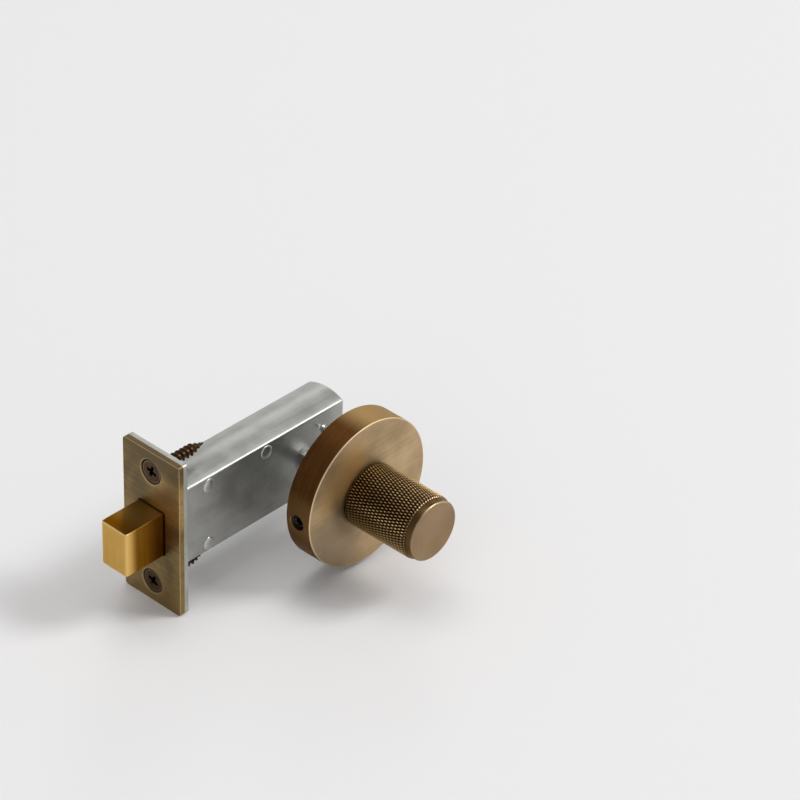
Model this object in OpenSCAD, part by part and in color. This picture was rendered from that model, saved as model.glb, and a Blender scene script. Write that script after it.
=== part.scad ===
// Knurled thumb turn on a round rose, with the tubular deadbolt that it throws.
// Frame: +Z up. The spindle's axis is the Y axis, and the door's face is the plane y = 0.
// The knob stands out towards -Y, and the door's edge and the bolt are towards -X.
// The bolt is modelled thrown, which is where the turn is at rest.

/* [Rose] */
// Diameter of the rose
rose_d = 52; // [48:1:60]
// How far the rose stands off the door
rose_h = 10; // [9:0.5:14]
// Thickness of the rose's front wall
rose_front_t = 2; // [1.5:0.1:2.5]
// Thickness of the rose's rim
rose_rim_t = 1.8; // [1.4:0.1:2.2]
// Bevel round the rose's front edge
rose_bevel = 0.3; // [0.2:0.1:0.8]
// Bevel at the mouth of the hole for the grub screw
grub_hole_bevel = 0.25; // [0.1:0.05:0.4]

/* [Fixing plate] */
// Gap between the rose and the fixing plate inside it
rose_gap = 0.2; // [0.1:0.05:0.3]
// Gap between the rose's front wall and the fixing plate's rim
rim_top_gap = 0.6; // [0.3:0.1:1]
// Thickness of the fixing plate's floor
floor_t = 2.4; // [2:0.2:3]
// Thickness of the fixing plate's rim
plate_rim_t = 3.4; // [3:0.2:4]
// Height of the two screw bosses off the door
boss_h = 5; // [4:0.5:6]
// Wall of metal round each screw head in its boss
boss_wall = 1; // [0.8:0.1:1.4]
// Distance between the two wood screws that hold the fixing plate
rose_screw_spacing = 30; // [28:1:31]
// How far those wood screws reach into the door
rose_screw_reach = 13; // [10:1:14]

/* [Grub screw] */
// Diameter of the grub screw that locks the rose
grub_d = 5; // [4:0.5:5]
// Length of the grub screw
grub_len = 4.2; // [4:0.2:5]
// Diameter of the hole in the rose's rim
grub_hole_d = 5.5; // [5.2:0.1:6]
// Distance of the grub screw's axis from the door
grub_h = 4.4; // [4:0.1:4.6]
// How far the grub screw lies below the rose's rim
grub_sunk = 1; // [0.6:0.1:1.2]
// Angle of the grub screw below the horizontal
grub_tilt = 2.5; // [0:0.5:30]
// Radial clearance in the tapped hole and round other still parts
thread_gap = 0.05; // [0.02:0.01:0.08]
// Size of the grub screw's hexagon socket across its flats
grub_socket_w = 2.5; // [2:0.5:2.5]
// Depth of the grub screw's socket
grub_socket_deep = 2; // [1.5:0.1:2.5]

/* [Knob] */
// Diameter over the knurl
knob_d = 22; // [20:0.5:26]
// Gap between the rose and the knob
knob_gap = 0.4; // [0.3:0.1:1]
// Length of the knurled grip
knurl_len = 25.4; // [18:0.2:32]
// Number of diamonds round the knurl
knurl_count = 66; // [48:1:72]
// Length of one diamond along the knob
knurl_pitch = 2.8; // [2:0.1:4]
// Depth of the knurl
knurl_deep = 0.35; // [0.2:0.05:0.5]
// Diameter of the plain end of the knob
cap_d = 20.6; // [17:0.1:21]
// Length of the plain end of the knob
cap_len = 2.5; // [1.5:0.1:5]
// Bevel round the plain end
cap_bevel = 0.3; // [0.1:0.1:0.6]
// Diameter of the knob's neck, which turns in the rose
neck_d = 10; // [9:0.5:11]
// Distance between the end of the neck and the door's face
neck_end = 1; // [0.5:0.1:1.2]
// Room round the neck in the fixing plate
neck_room = 2; // [1:0.5:3]

/* [Neck bush and clip] */
// Wall of the bush round the neck
bush_wall = 1; // [0.8:0.1:1.4]
// Diameter of the bush's flange and of the thrust washer
bush_flange_d = 16; // [15:0.5:18]
// Thickness of the bush's flange
bush_flange_t = 1; // [0.8:0.1:1.1]
// Radial clearance of the neck in the bush
neck_gap = 0.05; // [0.03:0.01:0.08]
// Clearance between faces that turn on each other
face_gap = 0.1; // [0.05:0.01:0.15]
// Thickness of the thrust washer
washer_t = 0.5; // [0.4:0.1:0.6]
// Thickness of the circlip on the neck
clip_t = 0.8; // [0.6:0.1:1]
// Radial width of the circlip
clip_w = 2; // [1.6:0.1:2.4]
// Depth of the circlip's groove in the neck
groove_deep = 0.4; // [0.3:0.05:0.5]
// Clearance of the circlip in its groove
groove_play = 0.05; // [0.03:0.01:0.08]
// Width of the circlip's gap
clip_gap_w = 2; // [1.6:0.1:2.4]
// Diameter of the circlip's two eyes
clip_eye_d = 2.8; // [2.6:0.1:3.2]
// Diameter of the holes in the eyes
clip_hole_d = 1.2; // [1:0.1:1.4]
// Angle of each eye from the middle of the gap
clip_eye_angle = 26; // [26:1:32]
// How far the eyes stand off the circlip's inner edge
clip_eye_set = 0.2; // [0.1:0.05:0.3]

/* [Spindle] */
// Width of the square spindle
spindle_w = 5; // [4.5:0.1:5.2]
// Clearance of the spindle in its square holes, on each side
spindle_gap = 0.1; // [0.05:0.05:0.15]
// How far the spindle reaches into the knob past the rose
spindle_in_knob = 12; // [8:1:18]
// How far the spindle stands out of the lock's far side
spindle_past_case = 5; // [3:1:15]
// Diameter of the cross pin that holds the spindle in the neck
cross_pin_d = 2; // [1.5:0.1:2]

/* [Lock in the door] */
// Distance from the door's edge to the spindle
backset = 60; // [57:0.5:75]
// Distance from the door's face to the middle of the lock
lock_y = 24.5; // [22:0.5:28]
// How far the lock's case reaches past the spindle
case_back = 17; // [16.5:0.5:24]
// Wall of the case
case_wall = 1.2; // [1:0.1:1.3]
// Clearance between the case and what moves in it
case_gap = 0.4; // [0.3:0.1:0.8]
// Diameter of the case's rivets
rivet_d = 3; // [2.5:0.1:3.2]
// Height of the rivet heads
rivet_head_h = 0.6; // [0.4:0.1:1]
// Width of a rivet head past its shank
rivet_lip = 0.9; // [0.6:0.1:1]
// Room between a rivet and the case's round wall
rivet_room = 2; // [1.8:0.1:2.2]
// Distance of the rivets from the guide block, the tail's hook and the case's end
rivet_end = 5.5; // [4.5:0.1:6]

/* [Faceplate] */
// Height of the faceplate
plate_h = 57; // [56:0.5:62]
// Width of the faceplate
plate_w = 25; // [22:0.5:28]
// Thickness of the faceplate
plate_t = 2; // [1.5:0.1:2.4]
// Radius of the faceplate's corners
plate_r = 1.2; // [0.6:0.1:4]
// Radius of the corners of the bolt's opening
opening_r = 0.8; // [0.4:0.1:1.2]
// How far the faceplate stands out of the door's edge
plate_proud = 0.4; // [0:0.1:1]
// Thickness of the steel forend behind the faceplate
forend_t = 1.6; // [1.5:0.1:2.5]
// Distance between the two faceplate screws
screw_spacing = 42; // [41:0.5:43]
// Length of the faceplate screws behind the faceplate's face
screw_len = 22; // [16:1:32]

/* [Wood screws] */
// Diameter of the wood screws over their thread
screw_d = 4; // [3.5:0.1:4.2]
// Diameter of the smooth shank between the head and the thread
screw_shank_d = 3; // [2.6:0.1:3.2]
// Diameter of the countersunk heads
screw_head_d = 7.7; // [7.2:0.1:8]
// Height of the countersunk heads
screw_head_h = 2.2; // [2:0.1:2.5]
// Gap between a head and its countersink
countersink_gap = 0.15; // [0.1:0.05:0.25]
// How far a head lies below the face
screw_sunk = 0.25; // [0.1:0.05:0.4]
// Length of a screw's point
screw_point = 5; // [3:0.5:6]
// Diameter of the blunt tip of the point
screw_tip_d = 0.6; // [0.4:0.1:0.8]
// Width across the cross recess
cross_w = 4.2; // [3.6:0.1:4.6]
// Width of one arm of the cross recess
cross_arm = 0.9; // [0.7:0.1:1.1]
// Depth of the cross recess
cross_deep = 1.6; // [1.2:0.1:1.8]

/* [Bolt] */
// Width of the bolt
bolt_w = 11; // [9:0.5:12]
// Height of the bolt
bolt_h = 16; // [14:0.5:17]
// How far the bolt is thrown
bolt_throw = 16; // [13:0.5:17]
// Length of the bolt that stays in the case when it is thrown
bolt_held = 16; // [13:0.5:18]
// Radius of the bolt's upright edges
bolt_r = 0.9; // [0.4:0.1:1.5]
// Gap round the bolt where it passes through the plates
bolt_gap = 0.4; // [0.3:0.05:0.6]
// Length of the guide block behind the forend
guide_len = 8; // [6:0.5:9]
// Gap round the bolt in its guide block
guide_gap = 0.15; // [0.1:0.05:0.25]
// Wall of the guide block at each side of the bolt
guide_wall = 0.7; // [0.5:0.1:1]
// Gap between the guide block and the case
guide_fit = 0.05; // [0.02:0.01:0.1]
// Thickness of the bolt's tail
tail_t = 2; // [1.8:0.1:2.2]
// Height of the bolt's tail
tail_h = 14; // [13.6:0.2:14]
// Length of the tail that sits in the bolt's slot
tail_seat = 9; // [7:0.5:10]
// Clearance of the tail in the bolt's slot
tail_fit = 0.05; // [0.02:0.01:0.1]
// Metal left above the crank pin's slot
tail_web = 1; // [0.9:0.1:1.5]
// Width of the tail on each side of the crank pin's slot
tail_leg = 2.6; // [2:0.1:3]

/* [Follower] */
// Diameter of the follower's journals
journal_d = 10; // [9.5:0.1:10.4]
// Diameter of the follower's body
follower_d = 13.6; // [13:0.1:14]
// Radial clearance of the journals in the case
journal_gap = 0.05; // [0.03:0.01:0.08]
// Thickness of the crank arm
crank_t = 2.8; // [2.4:0.1:3]
// Distance of the crank arm's far side from the middle of the lock
crank_off = 0.8; // [0.4:0.1:1]
// Clearance between the crank arm and the tail
crank_gap = 0.4; // [0.3:0.05:0.5]
// Diameter of the crank pin
crank_pin_d = 3; // [2.6:0.1:3.2]
// Radius of metal round the crank pin
crank_pin_wall = 0.9; // [0.7:0.1:1]
// Play of the follower's body between the case's flat sides, at each side
follower_play = 0.3; // [0.2:0.05:0.4]
// Clearance of the crank pin in its slot, besides what the swing needs
slot_gap = 0.15; // [0.1:0.05:0.25]
// Clearance between the tail and the journal that it passes
fork_gap = 0.4; // [0.3:0.05:0.5]

/* [Detent spring] */
// Thickness of the leaf spring
leaf_t = 0.5; // [0.4:0.1:0.7]
// Width of the leaf spring
leaf_w = 5; // [4:0.2:5.4]
// Length of the leaf spring's bow
leaf_bow = 18; // [14:0.5:19]
// Length of each foot of the leaf spring
leaf_foot = 3; // [2:0.5:3.5]
// Depth of the two notches in the tail
notch_deep = 0.8; // [0.5:0.1:1]
// Distance between the rear notch and the fork's root
notch_set = 1.5; // [1:0.5:4]
// Gap between the leaf spring's feet and the case
leaf_seat_gap = 0.05; // [0.02:0.01:0.1]
// Gap between the leaf spring and the tail's plain edge
leaf_gap = 0.3; // [0.25:0.05:0.5]

/* [Hidden] */
$fn = 64;
// How far a cutting solid reaches past what it cuts
past = 1;
brass_antique = "#8f7a58";
brass_dark = "#5a4a30";
brass_satin = "#b8934c";
steel_plated = "#b9bcbf";
steel_dark = "#3c3a38";
zinc_cast = "#9a9c9e";
nylon_black = "#2b2b2b";
nylon_white = "#e2ded2";

// Distances out of the door, from its face towards the knob
rose_inside = rose_h - rose_front_t;
plate_rim_h = rose_inside - rim_top_gap;
knob_base = rose_h + knob_gap;
bush_low = rose_inside - bush_flange_t;
washer_low = bush_low - washer_t;
clip_top = washer_low - face_gap;
clip_low = clip_top - clip_t;
cap_base = knob_base + knurl_len;
knob_end = cap_base + cap_len;
cross_pin_at = (neck_end + clip_low - groove_play) / 2;
spindle_front = rose_h + spindle_in_knob;

// Radii of the rose's inside and of the fixing plate
rose_inner_r = rose_d / 2 - rose_rim_t;
fixing_r = rose_inner_r - rose_gap;
grub_outer_r = rose_d / 2 - grub_sunk;

// The knurl's rows: one row of diamonds for every half pitch
knurl_rows = round(2 * knurl_len / knurl_pitch);
knurl_row_len = knurl_len / knurl_rows;
knurl_steps = 2 * knurl_count;

// Planes across the lock, from the door's edge inwards
plate_x = -backset - plate_proud;
forend_x = plate_x + plate_t;
case_x = forend_x + forend_t;
bolt_front_x = plate_x - bolt_throw;
bolt_rear_x = plate_x + bolt_held;

// The crank swings from 45 degrees one side of upright to 45 degrees the other
crank_half = 45;
crank_r = bolt_throw / (2 * sin(crank_half));
crank_side = crank_r * sin(crank_half);
crank_up = crank_r * cos(crank_half);
// The bolt moves evenly with the turn, and the pin runs ahead of it by at most this
drift_angle = acos(crank_side / crank_r * 4 / PI);
pin_drift = crank_r * sin(drift_angle) - crank_side * drift_angle / crank_half;
slot_half = crank_pin_d / 2 + pin_drift + slot_gap;
slot_top = crank_r + crank_pin_d / 2 + slot_gap;
tail_top = slot_top + tail_web;
fork_half = journal_d / 2 + fork_gap;
fork_root_x = -bolt_throw - follower_d / 2 - case_gap;
tail_end_x = -crank_side + slot_half + tail_leg;
hook_x = -crank_side - slot_half - tail_leg;

// Planes across the case, from the middle of the lock towards its far side
inside_half = bolt_w / 2 + guide_gap + guide_wall + guide_fit;
case_w = 2 * (inside_half + case_wall);
crank_near = crank_off - crank_t;
tail_near = crank_off + crank_gap;
tail_far = tail_near + tail_t;
pin_far = tail_far + crank_gap;

// The case's round top and bottom clear the tail over its whole travel
case_inner_r = sqrt(pow(tail_top, 2) + pow(tail_far, 2)) + case_gap;
case_r = case_inner_r + case_wall;
rivet_z = case_inner_r - rivet_d / 2 - rivet_room;
rivet_places = [
    [case_x + guide_len + rivet_end, rivet_z],
    [case_x + guide_len + rivet_end, -rivet_z],
    [hook_x - rivet_end, rivet_z],
    [case_back - rivet_end, -rivet_z]];
tail_rivet_x = bolt_rear_x - tail_seat / 2;
tail_rivet_z = tail_h / 4;

// The detent spring's crest lies under the rear notch when the bolt is thrown
leaf_x = fork_root_x - notch_deep - notch_set;
leaf_crest_z = -tail_h / 2 - leaf_gap;
leaf_y = (tail_near + tail_far) / 2;
leaf_foot_z = -sqrt(pow(case_inner_r, 2) - pow(leaf_y + leaf_w / 2, 2)) + leaf_seat_gap;
leaf_steps = 24;

// A round bar or hole on the spindle's axis, between two distances out of the door
module out_bar(d, low, high) {
    translate([0, -low, 0]) rotate([90, 0, 0]) cylinder(d = d, h = high - low);
}

// A cone on the spindle's axis, which narrows away from the door
module out_cone(d_low, d_high, low, high) {
    translate([0, -low, 0]) rotate([90, 0, 0]) cylinder(d1 = d_low, d2 = d_high, h = high - low);
}

// A square bar or hole on the spindle's axis
module square_bar(w, from_y, to_y) {
    translate([-w / 2, from_y, -w / 2]) cube([w, to_y - from_y, w]);
}

// A bar or hole across the lock at one place in the case, measured from the lock's middle
module lock_bar(d, x, z, near, far) {
    translate([x, lock_y + near, z]) rotate([-90, 0, 0]) cylinder(d = d, h = far - near);
}

// Puts a child that is built along +Z from the rose's middle on the grub screw's axis
module at_grub() {
    translate([0, -grub_h, 0]) rotate([0, -90 - grub_tilt, 0]) children();
}

// A rectangle with rounded corners, about the origin
module rounded_rectangle(w, h, r) {
    square([w - 2 * r, h], center = true);
    square([w, h - 2 * r], center = true);
    for (x = [-1, 1], y = [-1, 1])
        translate([x * (w / 2 - r), y * (h / 2 - r)]) circle(r = r);
}

// Raises a flat outline, drawn across the door's edge, from one plane to another
module plate_between(from_x, to_x) {
    translate([from_x, lock_y, 0]) rotate([90, 0, 90]) linear_extrude(height = to_x - from_x)
        children();
}

// The case's section: round above and below, flat at the sides
module case_section(r, half_w) {
    intersection() {
        circle(r = r);
        square([2 * half_w, 2 * r + past], center = true);
    }
}

// A countersunk wood screw with its head's face at the origin and its point towards +Z
module wood_screw(thread_start, length) {
    difference() {
        union() {
            cylinder(d1 = screw_head_d, d2 = screw_shank_d, h = screw_head_h);
            cylinder(d = screw_shank_d, h = length - screw_point);
            translate([0, 0, thread_start])
                cylinder(d = screw_d, h = length - screw_point - thread_start);
            translate([0, 0, length - screw_point])
                cylinder(d1 = screw_d, d2 = screw_tip_d, h = screw_point);
        }
        translate([-cross_w / 2, -cross_arm / 2, -past]) cube([cross_w, cross_arm, past + cross_deep]);
        translate([-cross_arm / 2, -cross_w / 2, -past]) cube([cross_arm, cross_w, past + cross_deep]);
    }
}

// The hole for a wood screw, from the face that its head lies below
module screw_hole(depth) {
    head_slope = (screw_head_d - screw_shank_d) / screw_head_h;
    mouth_d = screw_head_d + 2 * countersink_gap + screw_sunk * head_slope;
    bore_d = screw_d + 2 * countersink_gap;
    translate([0, 0, -past]) cylinder(d = bore_d, h = depth + 2 * past);
    cylinder(d1 = mouth_d, d2 = bore_d, h = (mouth_d - bore_d) / head_slope);
    translate([0, 0, -past]) cylinder(d = mouth_d, h = past);
}

// The two faceplate screws' places, each looking along +X from the faceplate's face
module at_faceplate_screws() {
    for (side = [-1, 1])
        translate([plate_x, lock_y, side * screw_spacing / 2]) rotate([0, 90, 0]) children();
}

// The two fixing screws' places, each looking along +Y from its boss's face
module at_fixing_screws() {
    for (side = [-1, 1])
        translate([0, -boss_h, side * rose_screw_spacing / 2]) rotate([-90, 0, 0]) children();
}

// One corner of the knurl's mesh: valleys and crests alternate, and both ends are valleys
function knurl_r(row, step) =
    row == 0 || row == knurl_rows || (row + step) % 2 == 0 ? knob_d / 2 - knurl_deep : knob_d / 2;
function knurl_point(row, step) = [
    knurl_r(row, step) * cos(step * 180 / knurl_count),
    knurl_r(row, step) * sin(step * 180 / knurl_count),
    row * knurl_row_len];
function knurl_index(row, step) = row * knurl_steps + step % knurl_steps;
// Each cell of the mesh is split along the groove that crosses it
function knurl_cell(row, step) =
    let (a = knurl_index(row, step), b = knurl_index(row, step + 1),
        c = knurl_index(row + 1, step + 1), d = knurl_index(row + 1, step))
    (row + step) % 2 == 0 ? [[a, c, b], [a, d, c]] : [[a, d, b], [b, d, c]];

// The diamond knurl, standing on its first end at the origin
module knurl() {
    points = [for (row = [0:knurl_rows], step = [0:knurl_steps - 1]) knurl_point(row, step)];
    sides = [for (row = [0:knurl_rows - 1], step = [0:knurl_steps - 1])
        each knurl_cell(row, step)];
    base = [for (step = [0:knurl_steps - 1]) knurl_index(0, step)];
    top = [for (step = [0:knurl_steps - 1]) knurl_index(knurl_rows, knurl_steps - 1 - step)];
    polyhedron(points = points, faces = concat(sides, [base, top]));
}

// Turned cup that covers the fixing plate, with the grub screw's hole in its rim
module rose_cover() {
    color(brass_antique) difference() {
        union() {
            out_bar(rose_d, 0, rose_h - rose_bevel);
            out_cone(rose_d, rose_d - 2 * rose_bevel, rose_h - rose_bevel, rose_h);
        }
        out_bar(2 * rose_inner_r, -past, rose_inside);
        out_bar(neck_d + 2 * (neck_gap + bush_wall + thread_gap), rose_inside - past, rose_h + past);
        at_grub() translate([0, 0, rose_inner_r - past])
            cylinder(d = grub_hole_d, h = rose_rim_t + 2 * past);
        at_grub() translate([0, 0, rose_d / 2 - 2 * grub_hole_bevel])
            cylinder(d1 = grub_hole_d - 2 * grub_hole_bevel, d2 = grub_hole_d + 4 * grub_hole_bevel,
                h = 3 * grub_hole_bevel);
    }
}

// Cast plate under the rose: a floor, a rim that the grub screw is tapped into, two screw bosses
module fixing_plate() {
    boss_d = screw_head_d + 2 * (countersink_gap + boss_wall);
    color(zinc_cast) difference() {
        union() {
            out_bar(2 * fixing_r, 0, floor_t);
            difference() {
                out_bar(2 * fixing_r, 0, plate_rim_h);
                out_bar(2 * (fixing_r - plate_rim_t), -past, plate_rim_h + past);
            }
            at_fixing_screws() cylinder(d = boss_d, h = boss_h);
        }
        out_bar(neck_d + 2 * neck_room, -past, floor_t + past);
        at_grub() translate([0, 0, fixing_r - plate_rim_t - past])
            cylinder(d = grub_d + 2 * thread_gap, h = plate_rim_t + 2 * past);
        at_fixing_screws() screw_hole(boss_h);
    }
}

// Two wood screws that hold the fixing plate to the door
module fixing_plate_screws() {
    color(steel_plated) at_fixing_screws() translate([0, 0, screw_sunk])
        wood_screw(boss_h - screw_sunk, boss_h - screw_sunk + rose_screw_reach);
}

// Grub screw backed out into the rose's hole, with its socket outwards
module rose_grub_screw() {
    color(steel_dark) difference() {
        at_grub() translate([0, 0, grub_outer_r - grub_len]) cylinder(d = grub_d, h = grub_len);
        at_grub() translate([0, 0, grub_outer_r - grub_socket_deep])
            cylinder(d = grub_socket_w / cos(30), h = grub_socket_deep + past, $fn = 6);
    }
}

// Flanged bush in the rose's front wall, which the neck turns in
module neck_bush() {
    bush_bore = neck_d + 2 * neck_gap;
    color(nylon_black) difference() {
        union() {
            out_bar(bush_flange_d, bush_low, rose_inside);
            out_bar(bush_bore + 2 * bush_wall, bush_low, knob_base - face_gap);
        }
        out_bar(bush_bore, bush_low - past, knob_base + past);
    }
}

// Washer between the bush's flange and the circlip
module thrust_washer() {
    color(steel_plated) difference() {
        out_bar(bush_flange_d, washer_low, bush_low);
        out_bar(neck_d + 2 * (neck_gap + thread_gap), washer_low - past, bush_low + past);
    }
}

// Knob turned from one bar: neck with its clip groove, knurled grip and plain end
module knob() {
    square_hole = spindle_w + 2 * spindle_gap;
    color(brass_dark) difference() {
        union() {
            out_bar(neck_d, neck_end, clip_low - groove_play);
            out_bar(neck_d - 2 * groove_deep, neck_end, knob_base);
            out_bar(neck_d, clip_top + groove_play, knob_base + past);
            translate([0, -knob_base, 0]) rotate([90, 0, 0]) knurl();
            out_bar(cap_d, cap_base - past, knob_end - cap_bevel);
            out_cone(cap_d, cap_d - 2 * cap_bevel, knob_end - cap_bevel, knob_end);
        }
        square_bar(square_hole, -spindle_front - spindle_gap, 0);
        translate([0, -cross_pin_at, -neck_d]) cylinder(d = cross_pin_d, h = 2 * neck_d);
    }
}

// The two eyes' places, below the neck on each side of the gap
module at_clip_eyes(eye_r) {
    for (side = [-1, 1])
        rotate([0, side * clip_eye_angle, 0]) translate([0, 0, -eye_r]) children();
}

// Open ring in the neck's groove, with two eyes beside its gap
module neck_circlip() {
    clip_inner_r = neck_d / 2 - groove_deep + groove_play;
    clip_outer_r = clip_inner_r + clip_w;
    eye_r = clip_inner_r + clip_eye_set + clip_eye_d / 2;
    color(steel_dark) difference() {
        union() {
            out_bar(2 * clip_outer_r, clip_low, clip_top);
            at_clip_eyes(eye_r) out_bar(clip_eye_d, clip_low, clip_top);
        }
        out_bar(2 * clip_inner_r, clip_low - past, clip_top + past);
        translate([-clip_gap_w / 2, -clip_top - past, -2 * clip_outer_r])
            cube([clip_gap_w, clip_t + 2 * past, 2 * clip_outer_r]);
        at_clip_eyes(eye_r) out_bar(clip_hole_d, clip_low - past, clip_top + past);
    }
}

// Pin through the neck and the spindle
module spindle_cross_pin() {
    color(steel_plated) translate([0, -cross_pin_at, -neck_d / 2])
        cylinder(d = cross_pin_d, h = neck_d);
}

// Square bar from the knob through the follower
module spindle() {
    color(steel_plated) difference() {
        square_bar(spindle_w, -spindle_front, lock_y + case_w / 2 + spindle_past_case);
        translate([0, -cross_pin_at, -spindle_w]) cylinder(d = cross_pin_d, h = 2 * spindle_w);
    }
}

// The bolt's opening and the screws' countersinks, cut through both plates at the door's edge
module edge_plate_cuts() {
    plate_between(plate_x - past, case_x + past)
        rounded_rectangle(bolt_w + 2 * bolt_gap, bolt_h + 2 * bolt_gap, opening_r);
    at_faceplate_screws() screw_hole(plate_t + forend_t);
}

// Decorative plate that shows in the door's edge
module faceplate() {
    color(brass_antique) difference() {
        plate_between(plate_x, forend_x) rounded_rectangle(plate_w, plate_h, plate_r);
        edge_plate_cuts();
    }
}

// Two wood screws through the faceplate and the forend
module faceplate_screws() {
    color(steel_dark) at_faceplate_screws() translate([0, 0, screw_sunk])
        wood_screw(plate_t + forend_t - screw_sunk, screw_len - screw_sunk);
}

// Steel plate that the case is built on, behind the faceplate
module forend() {
    color(steel_plated) difference() {
        plate_between(forend_x, case_x) rounded_rectangle(plate_w, plate_h, plate_r);
        edge_plate_cuts();
    }
}

// The whole pressed case before it is parted, with its journal and rivet holes
module case_shell() {
    difference() {
        plate_between(case_x, case_back) case_section(case_r, case_w / 2);
        plate_between(case_x - past, case_back - case_wall) case_section(case_inner_r, inside_half);
        lock_bar(journal_d + 2 * journal_gap, 0, 0, -case_w, case_w);
        for (place = rivet_places)
            lock_bar(rivet_d, place[0], place[1], -case_w, case_w);
    }
}

// One half of the case: the near half is towards the knob
module case_half(near) {
    span = case_back - case_x + 2 * past;
    difference() {
        case_shell();
        translate([case_x - past, near ? lock_y : lock_y - case_w, -2 * case_r])
            cube([span, case_w, 4 * case_r]);
    }
}

module case_near_half() {
    color(steel_plated) case_half(true);
}

module case_far_half() {
    color(steel_plated) case_half(false);
}

// Rivets that hold the two halves of the case together
module case_rivets() {
    head_d = rivet_d + 2 * rivet_lip;
    outside = case_w / 2;
    color(steel_plated) for (place = rivet_places) {
        lock_bar(rivet_d, place[0], place[1], -outside, outside);
        lock_bar(head_d, place[0], place[1], -outside - rivet_head_h, -outside);
        lock_bar(head_d, place[0], place[1], outside, outside + rivet_head_h);
    }
}

// Moulded block that fills the mouth of the case and guides the bolt
module bolt_guide() {
    color(nylon_white) difference() {
        plate_between(case_x, case_x + guide_len)
            case_section(case_inner_r - guide_fit, inside_half - guide_fit);
        plate_between(case_x - past, case_x + guide_len + past)
            square([bolt_w + 2 * guide_gap, bolt_h + 2 * guide_gap], center = true);
    }
}

// The leaf spring's height above its feet, from 0 at its ends to 1 at its crest
function leaf_lift(t) = (1 - cos(360 * t)) / 2;
function leaf_line(drop) = [for (i = [0:leaf_steps])
    let (t = i / leaf_steps)
    [leaf_x + (t - 0.5) * leaf_bow,
        leaf_foot_z + (leaf_crest_z - leaf_t - leaf_foot_z) * leaf_lift(t) + leaf_t - drop]];
function reversed(list) = [for (i = [len(list) - 1:-1:0]) list[i]];

// Bowed leaf that presses up on the tail and holds the bolt out or in
module detent_spring() {
    foot_low = leaf_x - leaf_bow / 2 - leaf_foot;
    foot_high = leaf_x + leaf_bow / 2 + leaf_foot;
    top_line = concat([[foot_low, leaf_foot_z + leaf_t]], leaf_line(0),
        [[foot_high, leaf_foot_z + leaf_t]]);
    low_line = concat([[foot_low, leaf_foot_z]], leaf_line(leaf_t), [[foot_high, leaf_foot_z]]);
    color(steel_plated) translate([0, lock_y + leaf_y + leaf_w / 2, 0]) rotate([90, 0, 0])
        linear_extrude(height = leaf_w) polygon(concat(low_line, reversed(top_line)));
}

// Hub on the spindle, with the crank arm that drives the bolt's tail
module follower() {
    square_hole = spindle_w + 2 * spindle_gap;
    arm_r = crank_pin_d / 2 + crank_pin_wall;
    body_near = -inside_half + follower_play;
    body_far = inside_half - follower_play;
    color(zinc_cast) difference() {
        union() {
            lock_bar(journal_d, 0, 0, -case_w / 2, case_w / 2);
            lock_bar(follower_d, 0, 0, body_near, crank_off);
            lock_bar(follower_d, 0, 0, pin_far, body_far);
            rotate([0, -crank_half, 0]) {
                translate([-arm_r, lock_y + crank_near, 0]) cube([2 * arm_r, crank_t, crank_r]);
                lock_bar(2 * arm_r, 0, crank_r, crank_near, crank_off);
            }
        }
        square_bar(square_hole, lock_y - case_w, lock_y + case_w);
        lock_bar(crank_pin_d, -crank_side, crank_up, -case_w, case_w);
    }
}

// Pin riveted in the crank arm, which runs in the tail's slot
module crank_pin() {
    color(steel_plated) lock_bar(crank_pin_d, -crank_side, crank_up, crank_near, pin_far);
}

// Solid brass bolt with a slot in its rear for the tail
module bolt() {
    bolt_len = bolt_rear_x - bolt_front_x;
    tail_slot = tail_t + 2 * tail_fit;
    color(brass_satin) difference() {
        translate([bolt_front_x + bolt_len / 2, lock_y, -bolt_h / 2]) linear_extrude(height = bolt_h)
            rounded_rectangle(bolt_len, bolt_w, bolt_r);
        translate([bolt_rear_x - tail_seat - tail_fit, lock_y + tail_near - tail_fit, -bolt_h])
            cube([tail_seat + past, tail_slot, 2 * bolt_h]);
        for (side = [-1, 1])
            lock_bar(rivet_d, tail_rivet_x, side * tail_rivet_z, -bolt_w, bolt_w);
    }
}

// A V across the tail's lower edge that the detent spring's crest springs into
module tail_notch(x) {
    translate([x, lock_y + tail_near - past, -tail_h / 2]) rotate([0, 45, 0])
        translate([-notch_deep * sqrt(0.5), 0, -notch_deep * sqrt(0.5)])
            cube([notch_deep * sqrt(2), tail_t + 2 * past, notch_deep * sqrt(2)]);
}

// Steel strip that joins the bolt to the crank, forked round the follower
module bolt_tail() {
    seat_x = bolt_rear_x - tail_seat;
    color(steel_plated) difference() {
        union() {
            translate([seat_x, lock_y + tail_near, -tail_h / 2])
                cube([tail_end_x - seat_x, tail_t, tail_h]);
            translate([hook_x, lock_y + tail_near, 0])
                cube([tail_end_x - hook_x, tail_t, tail_top]);
        }
        translate([fork_root_x, lock_y + tail_near - past, -fork_half])
            cube([tail_end_x - fork_root_x + past, tail_t + 2 * past, 2 * fork_half]);
        translate([-crank_side - slot_half, lock_y + tail_near - past, 0])
            cube([2 * slot_half, tail_t + 2 * past, slot_top]);
        tail_notch(leaf_x);
        tail_notch(leaf_x - bolt_throw);
        for (side = [-1, 1])
            lock_bar(rivet_d, tail_rivet_x, side * tail_rivet_z, tail_near - past, tail_far + past);
    }
}

// Two rivets through the bolt and its tail, dressed flush with the bolt's sides
module bolt_rivets() {
    color(steel_plated) for (side = [-1, 1])
        lock_bar(rivet_d, tail_rivet_x, side * tail_rivet_z, -bolt_w / 2, bolt_w / 2);
}

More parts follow.
